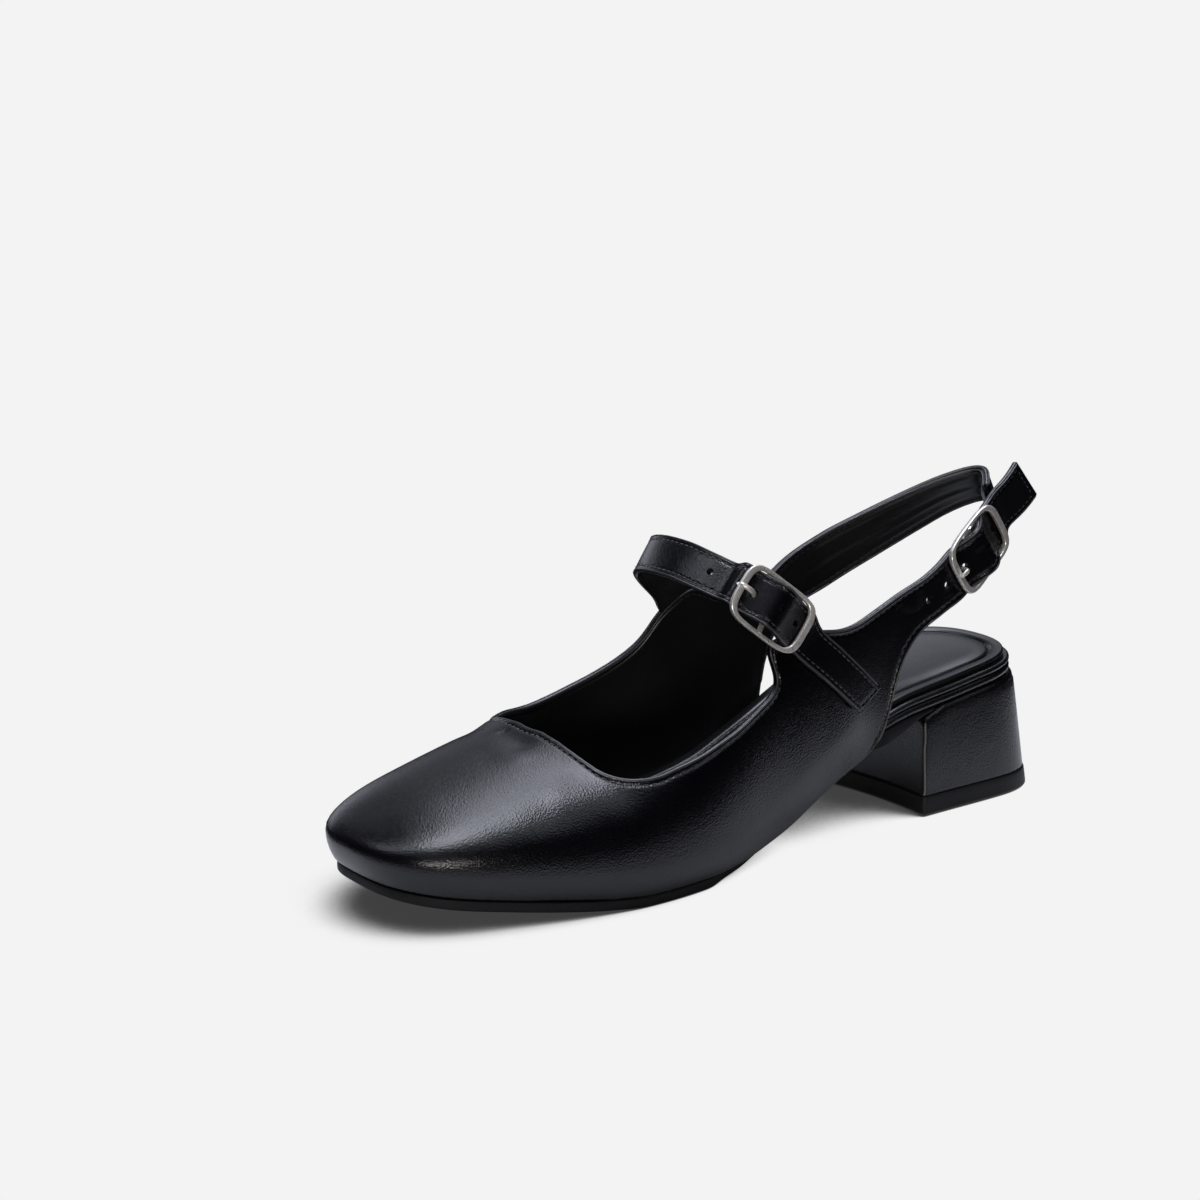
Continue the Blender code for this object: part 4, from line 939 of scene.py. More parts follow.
def leather(name, dark, light, rough, grain=.16, cell=1900.0, crease=.5, specular=.5, painted_edge_highlight=.35, coat=0.0, coat_rough=.2):
    """fine grained leather: tight pebbles, soft wrinkles, uneven polish, and convex edges painted paler as a painted
    highlight, also a little rougher
    """
    m, nt, p = new_material(name); L = nt.links
    tc = node(nt, 'ShaderNodeTexCoord')
    warp = node(nt, 'ShaderNodeTexNoise', Scale=420.0, Detail=2.0); L.new(tc.outputs['Object'], warp.inputs['Vector'])
    mix = node(nt, 'ShaderNodeVectorMath', operation='MULTIPLY_ADD')
    L.new(warp.outputs['Color'], mix.inputs[0]); mix.inputs[1].default_value = (.0004, .0004, .0004); L.new(tc.outputs['Object'], mix.inputs[2])
    cells = node(nt, 'ShaderNodeTexVoronoi', feature='SMOOTH_F1', Scale=cell, Smoothness=.35); L.new(mix.outputs['Vector'], cells.inputs['Vector'])
    fine = node(nt, 'ShaderNodeTexNoise', Scale=2600.0, Detail=3.0, Roughness=.6); L.new(tc.outputs['Object'], fine.inputs['Vector'])
    folds = node(nt, 'ShaderNodeTexNoise', Scale=85.0, Detail=2.0, Roughness=.42, Distortion=.5); L.new(tc.outputs['Object'], folds.inputs['Vector'])
    broad = node(nt, 'ShaderNodeTexNoise', Scale=28.0, Detail=3.0, Roughness=.5); L.new(tc.outputs['Object'], broad.inputs['Vector'])
    geo = node(nt, 'ShaderNodeNewGeometry')
    # painted highlight: convex edges (pointiness), made patchy by the folds noise, are mixed towards the paler colour
    # light; the same mask also raises the roughness
    edge = rng(nt, geo.outputs['Pointiness'], .505, .56, 0, 1, True)
    edge_highlight_and_scuff = maths(nt, 'MULTIPLY', edge.outputs[0], rng(nt, folds.outputs['Fac'], .35, .7, .3, 1).outputs[0])
    base = ramp(nt, broad.outputs['Fac'], [(.3, dark), (.7, tuple(c * 1.35 for c in dark))])
    col = node(nt, 'ShaderNodeMix', data_type='RGBA'); L.new(maths(nt, 'MULTIPLY', edge_highlight_and_scuff.outputs[0], painted_edge_highlight).outputs[0], col.inputs['Factor'])
    L.new(base.outputs['Color'], col.inputs['A']); col.inputs['B'].default_value = (*light, 1)
    L.new(col.outputs['Result'], p.inputs['Base Color'])
    ro = rng(nt, broad.outputs['Fac'], .25, .75, rough - .05, rough + .06)
    ro2 = maths(nt, 'ADD', ro.outputs[0], rng(nt, fine.outputs['Fac'], .3, .7, -.025, .035).outputs[0])
    ro3 = maths(nt, 'ADD', ro2.outputs[0], maths(nt, 'MULTIPLY', edge_highlight_and_scuff.outputs[0], .08).outputs[0])
    L.new(ro3.outputs[0], p.inputs['Roughness'])
    h = maths(nt, 'ADD', maths(nt, 'MULTIPLY', cells.outputs['Distance'], .8).outputs[0], maths(nt, 'MULTIPLY', fine.outputs['Fac'], .35).outputs[0])
    b1 = node(nt, 'ShaderNodeBump', Strength=grain, Distance=.00017); L.new(h.outputs[0], b1.inputs['Height'])
    b2 = node(nt, 'ShaderNodeBump', Strength=crease * .25, Distance=.0011); L.new(folds.outputs['Fac'], b2.inputs['Height']); L.new(b1.outputs['Normal'], b2.inputs['Normal'])
    L.new(b2.outputs['Normal'], p.inputs['Normal'])
    p.inputs['Specular IOR Level'].default_value = specular
    if coat:
        p.inputs['Coat Weight'].default_value = coat; p.inputs['Coat Roughness'].default_value = coat_rough
        L.new(b2.outputs['Normal'], p.inputs['Coat Normal'])
    return m


def rubber(name, dark, rough, rim=None):
    """moulded rubber with a faint grit; rim gives a paler band between two heights (metres)"""
    m, nt, p = new_material(name); L = nt.links
    tc = node(nt, 'ShaderNodeTexCoord')
    grit = node(nt, 'ShaderNodeTexNoise', Scale=1500.0, Detail=4.0, Roughness=.7); L.new(tc.outputs['Object'], grit.inputs['Vector'])
    blot = node(nt, 'ShaderNodeTexNoise', Scale=60.0, Detail=3.0); L.new(tc.outputs['Object'], blot.inputs['Vector'])
    base = ramp(nt, blot.outputs['Fac'], [(.3, dark), (.7, tuple(c * 1.5 for c in dark))])
    out = base.outputs['Color']
    if rim:
        sep = node(nt, 'ShaderNodeSeparateXYZ'); L.new(tc.outputs['Object'], sep.inputs[0])
        k = rng(nt, sep.outputs['Z'], rim[0], rim[1], 1, 0, True)
        mx = node(nt, 'ShaderNodeMix', data_type='RGBA'); L.new(k.outputs[0], mx.inputs['Factor']); L.new(out, mx.inputs['A']); mx.inputs['B'].default_value = (*rim[2], 1)
        out = mx.outputs['Result']
    L.new(out, p.inputs['Base Color'])
    L.new(rng(nt, grit.outputs['Fac'], .3, .7, rough - .06, rough + .08).outputs[0], p.inputs['Roughness'])
    b = node(nt, 'ShaderNodeBump', Strength=.25, Distance=.00015); L.new(grit.outputs['Fac'], b.inputs['Height']); L.new(b.outputs['Normal'], p.inputs['Normal'])
    p.inputs['Specular IOR Level'].default_value = .25
    return m


def metal(name):
    """satin plated metal: fine brushing, faint tarnish in places"""
    m, nt, p = new_material(name); L = nt.links
    tc = node(nt, 'ShaderNodeTexCoord')
    mp = node(nt, 'ShaderNodeMapping'); mp.inputs['Scale'].default_value = (900, 2600, 900); L.new(tc.outputs['Object'], mp.inputs['Vector'])
    brush = node(nt, 'ShaderNodeTexNoise', Scale=1.0, Detail=3.0, Roughness=.6); L.new(mp.outputs['Vector'], brush.inputs['Vector'])
    spots = node(nt, 'ShaderNodeTexNoise', Scale=320.0, Detail=3.0); L.new(tc.outputs['Object'], spots.inputs['Vector'])
    c = ramp(nt, spots.outputs['Fac'], [(.3, (.80, .775, .715)), (.7, (.93, .905, .855))])
    L.new(c.outputs['Color'], p.inputs['Base Color'])
    L.new(rng(nt, brush.outputs['Fac'], .3, .7, .24, .38).outputs[0], p.inputs['Roughness'])
    b = node(nt, 'ShaderNodeBump', Strength=.12, Distance=.00005); L.new(brush.outputs['Fac'], b.inputs['Height']); L.new(b.outputs['Normal'], p.inputs['Normal'])
    p.inputs['Metallic'].default_value = .62
    return m


def thread(name, dark, light):
    m, nt, p = new_material(name); L = nt.links
    tc = node(nt, 'ShaderNodeTexCoord')
    tw = node(nt, 'ShaderNodeTexWave', wave_type='BANDS', bands_direction='DIAGONAL', Scale=1400.0, Distortion=1.0); L.new(tc.outputs['Object'], tw.inputs['Vector'])
    c = ramp(nt, tw.outputs['Fac'], [(.2, dark), (.8, light)])
    L.new(c.outputs['Color'], p.inputs['Base Color'])
    b = node(nt, 'ShaderNodeBump', Strength=.4, Distance=.0001); L.new(tw.outputs['Fac'], b.inputs['Height']); L.new(b.outputs['Normal'], p.inputs['Normal'])
    L.new(rng(nt, tw.outputs['Fac'], 0, 1, .4, .55).outputs[0], p.inputs['Roughness'])
    p.inputs['Sheen Weight'].default_value = .2
    return m


def webbing(name):
    """knitted elastic: fine cross threads over the ribs"""
    m, nt, p = new_material(name); L = nt.links
    tc = node(nt, 'ShaderNodeTexCoord')
    knit = node(nt, 'ShaderNodeTexVoronoi', feature='F1', Scale=2200.0); L.new(tc.outputs['Object'], knit.inputs['Vector'])
    c = ramp(nt, knit.outputs['Distance'], [(.1, (.016, .016, .017)), (.7, (.005, .005, .005))])
    L.new(c.outputs['Color'], p.inputs['Base Color'])
    b = node(nt, 'ShaderNodeBump', Strength=.6, Distance=.0002); L.new(knit.outputs['Distance'], b.inputs['Height']); L.new(b.outputs['Normal'], p.inputs['Normal'])
    L.new(rng(nt, knit.outputs['Distance'], 0, .8, .6, .9).outputs[0], p.inputs['Roughness'])
    p.inputs['Sheen Weight'].default_value = .3
    return m


LEATHER = leather('upper_leather', (.0017, .0017, .0026), (.022, .022, .028), .185, grain=.5, crease=.34, coat=.0)
STRAP_LEATHER = leather('strap_leather', (.0019, .0019, .0028), (.028, .028, .034), .19, grain=.5, crease=.3)
LINING = leather('lining', (.0055, .0055, .006), (.03, .03, .032), .33, grain=.16, crease=.8, specular=.5)
SOCK_MAT = leather('sock_lining', (.005, .005, .0055), (.04, .04, .04), .27, grain=.10, crease=.3, specular=.5)
WRAP = leather('platform_cover', (.003, .003, .0035), (.03, .03, .034), .22, grain=.3, crease=.25)
HEEL_MAT = leather('heel_cover', (.0030, .0030, .0035), (.035, .035, .04), .25, grain=.5, crease=.4)
SOLE_MAT = rubber('sole_rubber', (.0022, .0022, .0026), .6)
LIFT_MAT = rubber('top_lift_rubber', (.007, .007, .007), .5, rim=(.0003, .0011, (.085, .08, .07)))
METAL = metal('satin_nickel')
THREAD = thread('thread', (.005, .005, .006), (.04, .04, .045))
# edge beads: base colour far paler than the upper's, a painted highlight for the light caught along the tight folded
# edges
EDGE_BEAD_HIGHLIGHT_MAT = leather('folded_edge_painted_highlight', (.020, .020, .023), (.06, .06, .065), .30, grain=.2, crease=.15, specular=.9)
RAW = thread('raw_edge', (.07, .065, .06), (.20, .19, .17))
ELASTIC = webbing('elastic')


# ================================================================== upper
M = 161
F_M = np.linspace(0, 1, M)
end_steps = np.array([0, .05, .15, .3, .5, .75, 1.05, 1.45, 1.9, 2.4])
k_out = np.concatenate([end_steps, spread(3.1, ko[-1], 1.1)])
k_in = np.concatenate([spread(0, ki[-1] - 3.1, 1.1), ki[-1] - end_steps[::-1]])
phis = np.linspace(0, 180, 251)[1:-1]
G = np.array([world(resample(OUTER.column(k, 500), F_M)) for k in k_out]
             + [world(resample(fan_column(p, 420), F_M)) for p in phis]
             + [world(resample(INNER.column(k, 500), F_M)) for k in k_in])
n_out, n_fan, n_in = len(k_out), len(phis), len(k_in)
keep = np.zeros(len(G)); keep[:8] = 1; keep[-8:] = 1
G = even(G, 16, keep)
n_tail = int(np.searchsorted(k_out, ko[5] + 16))
G[:n_tail] = weave(G[:n_tail], SLING_FRAME, WALL, extra=.85)
G[:n_tail + 10] = even(G[:n_tail + 10], 5, keep[:n_tail + 10])

# k of each column, and what its bottom edge is: free (a strap or the rear of a quarter) or lasted to the sole
col_k = np.concatenate([k_out, np.full(n_fan, 1e3), k_in])
side_id = np.concatenate([np.ones(n_out), np.zeros(n_fan), -np.ones(n_in)])
free_out = 1 - step01(k_out, k_at(OUTER, 'b', 75.2) + 3, k_at(OUTER, 'b', 78.5) + 4)
free_in = step01(k_in, k_at(INNER, 'b', 82.6) - 2, k_at(INNER, 'b', 79.7) + 1)
free_b = np.concatenate([free_out, np.zeros(n_fan), free_in])

# creases and soft hollows, in plan (x, station): a line, its depth and its half width
FOLDS = [((25.0, 189.5), (34.0, 180.5), -.24, 4.4), ((28.5, 196.5), (37.0, 184.0), .18, 4.6), ((-9.0, 189.6), (2.0, 191.4), -.62, 3.0),
         ((-6.0, 196.0), (8.0, 197.0), .2, 3.8), ((-24.0, 192.0), (-30.5, 187.0), -.35, 3.0), ((32.0, 203.0), (38.5, 190.0), -.25, 5.0)]
xs = np.stack([G[..., 0], Y_BACK - G[..., 1]], -1)
lift_f = np.zeros(G.shape[:2])
for p, q, depth, wide in FOLDS:
    p, q = np.array(p), np.array(q); d = q - p; L2 = d @ d
    t = ((xs - p) @ d) / L2; tc_ = np.clip(t, 0, 1)
    r = np.linalg.norm(xs - (p + tc_[..., None] * d), axis=-1)
    lift_f += depth * np.exp(-(r / wide) ** 2) * (side_id[:, None] == 0)
Nf = grid_normals(G)
G = G + Nf * lift_f[..., None]

# the top edge runs evenly through the inner corner of the throat
i_c = n_out + n_fan - 8
T_ = G[:, -1]; a_ = along(T_); rows_ = np.where(abs(a_ - a_[i_c]) < 24)[0]
q_ = np.linspace(a_[rows_[0]], a_[rows_[-1]], 241); z_ = np.interp(q_, a_, T_[:, 2])
ker = np.exp(-.5 * ((q_[:, None] - q_[None]) / 4.2) ** 2); z_ = (ker * z_).sum(1) / ker.sum(1)
dz = np.zeros(len(G)); dz[rows_] = (np.interp(a_[rows_], q_, z_) - T_[rows_, 2]) * np.exp(-((a_[rows_] - a_[i_c]) / 11.0) ** 4)
up_ = unit_rows(G[:, -1] - G[:, -8]); up_ = up_ / np.maximum(up_[:, 2:], .55)
far_ = np.linalg.norm(G - G[:, -1:], axis=-1)
G = G + (up_ * dz[:, None])[:, None] * np.exp(-(far_ / 7.0) ** 2)[..., None]

upper = Skin(G, 0.0, -WALL, n_mid=40, ends=(True, True), corner=(1.0, 1.2), flip=True)
if (upper.N[n_out + n_fan // 2, 30] @ np.array([0, -1, .5])) < 0:
    upper.N *= -1
free = np.ones(upper.P.shape[:2])
bottom = upper.db < upper.dt
free = np.where(bottom, free_b[:, None], 1.0)
upper.hem(free)
# the sling's inner face: a thick rolled upper edge, a seam channel, and a long soft pleat
strap_in = np.concatenate([np.zeros(n_out + n_fan), step01(k_in, ki[j0 + 3], ki[j0 + 6])])[:, None]
upper.ei += strap_in * (.34 * np.exp(-((upper.dt - 1.3) / .75) ** 2) - .30 * np.exp(-((upper.dt - 2.9) / .4) ** 2)) * np.clip(upper.dt / .7, 0, 1) * np.clip(upper.de / 2, 0, 1)[:, None]
up_f = upper.db / upper.L[:, None]; run = (upper.s - upper.s[n_out + n_fan]) / (upper.s[-1] - upper.s[n_out + n_fan])
pleat = .40 + .012 * np.sin(run * 31)[:, None]
upper.ei += strap_in * (.13 * np.exp(-((up_f - pleat) / .055) ** 2) - .08 * np.exp(-((up_f - pleat - .11) / .06) ** 2)) * (step01(run, .45, .6) * (1 - step01(run, .9, .97)))[:, None]


def drill(o, C, D, radius, depth, mat_index=0):
    """round holes through a strap: centres C, directions D, in millimetres"""
    bag_v, bag_f, n = [], [], 0
    for c, d in zip(C, D):
        V, F = rod(c - unit(d) * depth, c + unit(d) * depth, radius, radius, 20)
        bag_v.append(V); bag_f += [tuple(i + n for i in f) for f in F]; n += len(V)
    cut = solid(o.name + '_cut', np.concatenate(bag_v), bag_f, [o.data.materials[0]], weld=True, smooth=False)
    m = o.modifiers.new('holes', 'BOOLEAN'); m.operation = 'DIFFERENCE'; m.solver = 'EXACT'; m.object = cut
    dg = bpy.context.evaluated_depsgraph_get()
    me = bpy.data.meshes.new_from_object(o.evaluated_get(dg))
    o.modifiers.clear(); old = o.data; o.data = me; bpy.data.meshes.remove(old)
    bpy.data.objects.remove(cut, do_unlink=True)
    me.shade_smooth(); me.set_sharp_from_angle(angle=math.radians(50))


def hole_frames(skin, arcs, across=.5):
    """points and normals on a strap's centre line at distances along it"""
    A, B = skin.faces_at(); j = int(round(across * (A.shape[1] - 1)))
    C = (A[:, j] + B[:, j]) / 2; out = []
    for a in arcs:
        i = int(np.argmin(abs(skin.s - a))); out.append((C[i], skin.N[i, j]))
    return np.array([c for c, _ in out]), np.array([n for _, n in out])


HOLES_SLING = [27.0, 36.3, 45.8, 54.6, 63.4]
tail_arc = upper.s - upper.s[0]
arc_of_k = np.interp(HOLES_SLING, k_out, upper.s[:n_out])
upper_o = upper.mesh('upper_shell', [LEATHER, LINING])
hc, hn = hole_frames(upper, arc_of_k)
drill(upper_o, hc, hn, 1.2, 3.0)
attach(upper_o, 'root'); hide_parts('upper')

st = Bag()
P, N = upper.point('t', STITCH_AT)
st.seam(P, N, stop=along(P)[-1] - 4, start=3.0)
P, N = upper.point('b', STITCH_AT)
nb = int((free_b[:n_out] > .5).sum()); st.seam(P[:nb], N[:nb], start=3.0)
nb2 = int((free_b[n_out + n_fan:] > .5).sum()); st.seam(P[-nb2:], N[-nb2:], stop=along(P[-nb2:])[-1] - 3)
P, N = upper.point('t', STITCH_AT, inner=True)
j1 = n_out + n_fan + int(np.searchsorted(k_in, ki[j0 - 6]))
st.seam(P[j1:], N[j1:])
P, N = upper.point('b', STITCH_AT, inner=True)
st.seam(P[-nb2:], N[-nb2:])
# across the tail's end
e = int(np.argmin(abs(upper.s - STITCH_AT)))
A, B = upper.faces_at()
m_ = (upper.db[e] > STITCH_AT) & (upper.dt[e] > STITCH_AT)
st.seam(A[e][m_], upper.N[e][m_])
so = st.make('upper_stitches', [THREAD]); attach(so, 'root')


def edge_bead(bag, skin, edge, sel, r=.34, dist=.62, inner=False):
    """the tight fold of leather along a free edge"""
    P, N = skin.point(edge, dist, inner=inner); P, N = P[sel], N[sel]
    q = np.linspace(0, along(P)[-1], max(8, int(along(P)[-1] / .9))); a = along(P)
    C = np.stack([np.interp(q, a, P[:, c]) for c in range(3)], -1); M = unit_rows(np.stack([np.interp(q, a, N[:, c]) for c in range(3)], -1))
    wob = .02 * np.sin(q * 1.7) + .015 * np.sin(q * .63 + 1.0)
    w = np.clip(np.minimum(q, q[-1] - q) / 1.5, .15, 1)
    bag.tube(C + M * ((.02 + wob) * w - r * .35 * (1 - w))[:, None], M, r * .8 * w, r * w, 8)


# the upper's edge beads carry the paler painted-highlight leather
eb = Bag()
edge_bead(eb, upper, 't', slice(3, -3))
edge_bead(eb, upper, 'b', slice(3, nb - 2)); edge_bead(eb, upper, 'b', slice(-nb2 + 2, -3))
edge_bead(eb, upper, 't', slice(j1, -3), inner=True); edge_bead(eb, upper, 'b', slice(-nb2 + 4, -3), inner=True)
eo_ = eb.make('upper_edges', [EDGE_BEAD_HIGHLIGHT_MAT]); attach(eo_, 'root')


# ================================================================== instep strap
BU, BL = bu.copy(), bl.copy()
for A_, e_ in ((BU, 'u'), (BL, 'l')):
    q_ = slice(0, 2)
    A_[q_] = world(np.stack([side_x(BAND[e_ + 's'][q_], BAND[e_ + 'z'][q_], -1) + WALL / 2, BAND[e_ + 's'][q_], BAND[e_ + 'z'][q_]], -1))
SU2, SL2 = smooth_path(np.concatenate([BU, inu - fS * .5, tu]), np.concatenate([BL, inl + fS * .8, tl]), .6)
near_buckle = np.exp(-(np.maximum(0, np.abs(((SU2 + SL2) / 2 - fc) @ fL) - 12.5) / 3.0) ** 2)
SU2, SL2 = even(SU2, 40, near_buckle), even(SL2, 40, near_buckle)
SU2, SL2 = even(SU2, 3), even(SL2, 3)
g = np.linspace(0, 1, 41)[None, :, None]
GS = SL2[:, None] * (1 - g) + SU2[:, None] * g
K = len(GS)
fine_end = np.concatenate([np.arange(K - 4) * 1.0, K - 1 - np.array([3.4, 2.9, 2.4, 1.9, 1.45, 1.05, .72, .45, .22, .07, 0])])
GS = np.stack([np.stack([np.interp(fine_end, np.arange(K), GS[:, j, c]) for c in range(3)], -1) for j in range(41)], 1)
band = Skin(GS, STRAP_T / 2, -STRAP_T / 2, n_mid=14, ends=(False, True), corner=(0, 1.1))
k0 = int(np.argmin(np.linalg.norm(GS[:, 20] - fc, axis=1)))
if band.N[k0, 20] @ fN < 0:
    band.N *= -1
band.hem(np.ones(band.P.shape[:2]), bead=.07, groove=.15, at=1.75)
crown = .12 * (1 - (2 * band.db / band.L[:, None] - 1) ** 2)
band.eo += crown * np.clip(band.de / 3, 0, 1)[:, None]
thin = (.45 * (1 - step01(band.s, 5.0, 13.0)))[:, None] * np.clip(band.d / .6, 0, 1)
band.eo -= thin; band.ei -= thin
band_o = band.mesh('instep_strap_leather', [STRAP_LEATHER, LINING])
HOLES_BAND = np.array([-17.1, -12.1, -6.9, 1.1, 8.7])
a0 = float(np.interp(0, ((GS[:, 20] - fc) @ fL)[k0 - 12:k0 + 12], band.s[k0 - 12:k0 + 12]))
uline = (GS[:, 20] - fc) @ fL
sel = np.abs(band.s - band.s[k0]) < 34
arcs = [float(np.interp(u, uline[sel], band.s[sel])) for u in HOLES_BAND]
hc, hn = hole_frames(band, arcs)
hn[:2] = unit_rows(hn[:2] - .42 * np.array([.775, -.588, .233]))      # the free holes are punched a little askew
drill(band_o, hc, hn, 1.05, 2.6)
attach(band_o, 'root'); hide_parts('instep_strap')
st = Bag()
for edge in 'bt':
    P, N = band.point(edge, 1.75); st.seam(P, N, stop=along(P)[-1] - 1.4)
e = int(np.argmin(abs(band.s[-1] - band.s - 1.75)))
A, B = band.faces_at(); m_ = (band.db[e] > 1.7) & (band.dt[e] > 1.7)
st.seam(A[e][m_], band.N[e][m_], pitch=2.1, length=1.5)
so = st.make('strap_stitches', [THREAD]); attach(so, 'root')
# the strap's edge beads carry the paler painted-highlight leather
eb = Bag()
first = int(np.searchsorted(band.s, 9.0))
for edge in 'bt':
    edge_bead(eb, band, edge, slice(first, -9), r=.3, dist=.5)
eo_ = eb.make('strap_edges', [EDGE_BEAD_HIGHLIGHT_MAT]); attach(eo_, 'root')


# ================================================================== elastics
def gore(name, U, Lo, cad, outward):
    U, Lo = even(U, 3), even(Lo, 3)
    w = np.linspace(0, 1, 61)[None, :, None]
    G = Lo[:, None] * (1 - w) + U[:, None] * w
    sk = Skin(G, GORE_T / 2 - .05, -GORE_T / 2 + .05, n_mid=60, ends=(True, True))
    a = sk.db; b = sk.s[:, None]
    rib = .09 * np.sin(2 * math.pi * (a * .75 + b * .55) / 1.05) * np.clip(sk.d / .8, 0, 1)
    sk.eo += rib; sk.ei += rib
    o = sk.mesh(name, [ELASTIC])
    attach(o, 'root'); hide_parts(cad)
    return o


GU2, GL2 = smooth_path(np.concatenate([a1u, g1u]), np.concatenate([a1l, g1l]), .3)
GL2 = GL2 + (GU2 - GL2) * .12
gore('instep_elastic', GU2, GL2, 'instep_gore', 1)
QU2, QL2 = smooth_path(np.concatenate([anchor_t, g2t]), np.concatenate([anchor_b, g2b]), .3)
gore('sling_elastic', QU2, QL2, 'sling_gore', 1)


# ================================================================== buckles
def buckle(name, fr, thick, cad_ring, cad_prong, hole_u, grow=0.0):
    c, L, S, Nn = frame_axes(**fr)
    A_, B_ = FRAME_A + grow, FRAME_B + grow * .6
    n, sides = 180, 20
    t = np.linspace(0, 2 * math.pi, n, endpoint=False); e = 2 / 5.0
    # even steps round the frame
    tt = np.linspace(0, 2 * math.pi, 4000)
    cu = A_ * np.sign(np.cos(tt)) * np.abs(np.cos(tt)) ** e; cv = B_ * np.sign(np.sin(tt)) * np.abs(np.sin(tt)) ** e
    a = along(np.stack([cu, cv, 0 * cu], -1)); q = np.linspace(0, a[-1], n, endpoint=False)
    u = np.interp(q, a, cu); v = np.interp(q, a, cv)
    C2 = even_loop(np.stack([u, v], -1), 3)
    T = unit_rows(np.roll(C2, -1, 0) - np.roll(C2, 1, 0)); R = np.stack([T[:, 1], -T[:, 0]], -1)
    th = 2 * math.pi * np.arange(sides) / sides
    co = np.sign(np.cos(th)) * np.abs(np.cos(th)) ** .5; si = np.sign(np.sin(th)) * np.abs(np.sin(th)) ** .5
    endness = np.abs(C2[:, 0]) / A_
    wide = .68 + .40 * step01(endness, .72, 1.0)
    bow = .55 * (1 - (C2[:, 1] / B_) ** 2) * step01(endness, .85, 1.0)
    C2 = C2 + np.stack([np.sign(C2[:, 0]) * bow * .6, 0 * bow], -1)
    V = (c + (C2[:, None, 0] + R[:, None, 0] * wide[:, None] * co)[..., None] * L
         + (C2[:, None, 1] + R[:, None, 1] * wide[:, None] * co)[..., None] * S + (si * .78 + .1 - .5 * (1 - (C2[:, 0] / A_) ** 2)[:, None])[..., None] * Nn)
    F = [(i * sides + j, i * sides + (j + 1) % sides, ((i + 1) % n) * sides + (j + 1) % sides, ((i + 1) % n) * sides + j) for i in range(n) for j in range(sides)]
    b = Bag(); b.add(V.reshape(-1, 3), F)
    bar = np.array([c - Nn * BAR_SINK * w + S * x for x, w in zip(np.linspace(-B_, B_, 25), np.clip(2.4 * np.cos(np.linspace(-1, 1, 25) * math.pi / 2), 0, 1))])
    b.tube(bar, np.tile(Nn, (25, 1)), .82, .82, 14)
    ring = b.make(name + '_buckle_frame', [METAL])
    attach(ring, 'root'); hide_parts(cad_ring)
    # tongue: round the bar, up through its hole, down on the front bar
    low = BAR_R + .45
    path = [(low * math.sin(x) * 1.0, -BAR_SINK + low * math.cos(x)) for x in np.linspace(2.6, math.pi * 1.25, 5)]
    h = float(outer_face(hole_u, thick))
    path += [(hole_u + 3.2, h - thick - .55), (hole_u + 1.3, h - thick - .25), (hole_u + .1, h - thick / 2), (hole_u - .8, h + .75),
             (-FRAME_A + 1.6, BAR_R + .95), (-FRAME_A - .1, BAR_R + .72), (-FRAME_A - 1.0, BAR_R + .45), (-FRAME_A - 1.5, BAR_R + .15)]
    path = np.array(path); k = np.concatenate([[0], np.cumsum(np.linalg.norm(np.diff(path, axis=0), axis=1))])
    q = np.linspace(0, k[-1], 70); pu = mono(k, path[:, 0])(q); pw = mono(k, path[:, 1])(q)
    pts = even(np.stack([pu, pw], -1), 6)
    Cc = c + pts[:, :1] * L + pts[:, 1:] * Nn
    Tn = unit_rows(np.gradient(Cc, axis=0)); up = np.cross(np.tile(S, (len(Cc), 1)), Tn)
    if up[-10] @ Nn < 0:
        up = -up
    taper = np.interp(q / k[-1], [0, .6, .9, .965, 1], [1, 1, .92, .7, .3])
    tb = Bag(); tb.tube(Cc, up, .62 * taper, .82 * taper, 14)
    tg = tb.make(name + '_tongue', [METAL])
    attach(tg, 'root'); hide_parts(cad_prong)


buckle('instep', INSTEP_FRAME, STRAP_T, 'instep_buckle', 'instep_prong', -6.9)
buckle('sling', SLING_FRAME, WALL, 'sling_buckle', 'sling_prong', -8.6, grow=.55)


# ================================================================== sole, platform, sock
def outline_loop(stations, inset, step=.9, passes=3):
    s = np.asarray(stations, float)
    i = np.array([float(inset(q)) for q in s]); c = axis_x(s)
    hi = c + np.array([float(outline_half(q, 1, w)) for q, w in zip(s, i)]); lo = c - np.array([float(outline_half(q, -1, w)) for q, w in zip(s, i)])
    P = np.concatenate([np.stack([hi, s], -1), np.stack([lo, s], -1)[::-1]])
    P = np.concatenate([P, P[:1]]); a = along(np.column_stack([P, 0 * P[:, 0]]))
    n = int(a[-1] / step); q = np.linspace(0, a[-1], n, endpoint=False)
    P = np.stack([np.interp(q, a, P[:, 0]), np.interp(q, a, P[:, 1])], -1)
    return even_loop(P, passes)


def loop_normals(P):
    T = unit_rows(np.roll(P, -1, 0) - np.roll(P, 1, 0)); N = np.stack([T[:, 1], -T[:, 0]], -1)
    c = P.mean(0)
    if ((P - c) * N).sum() < 0:
        N = -N
    return N


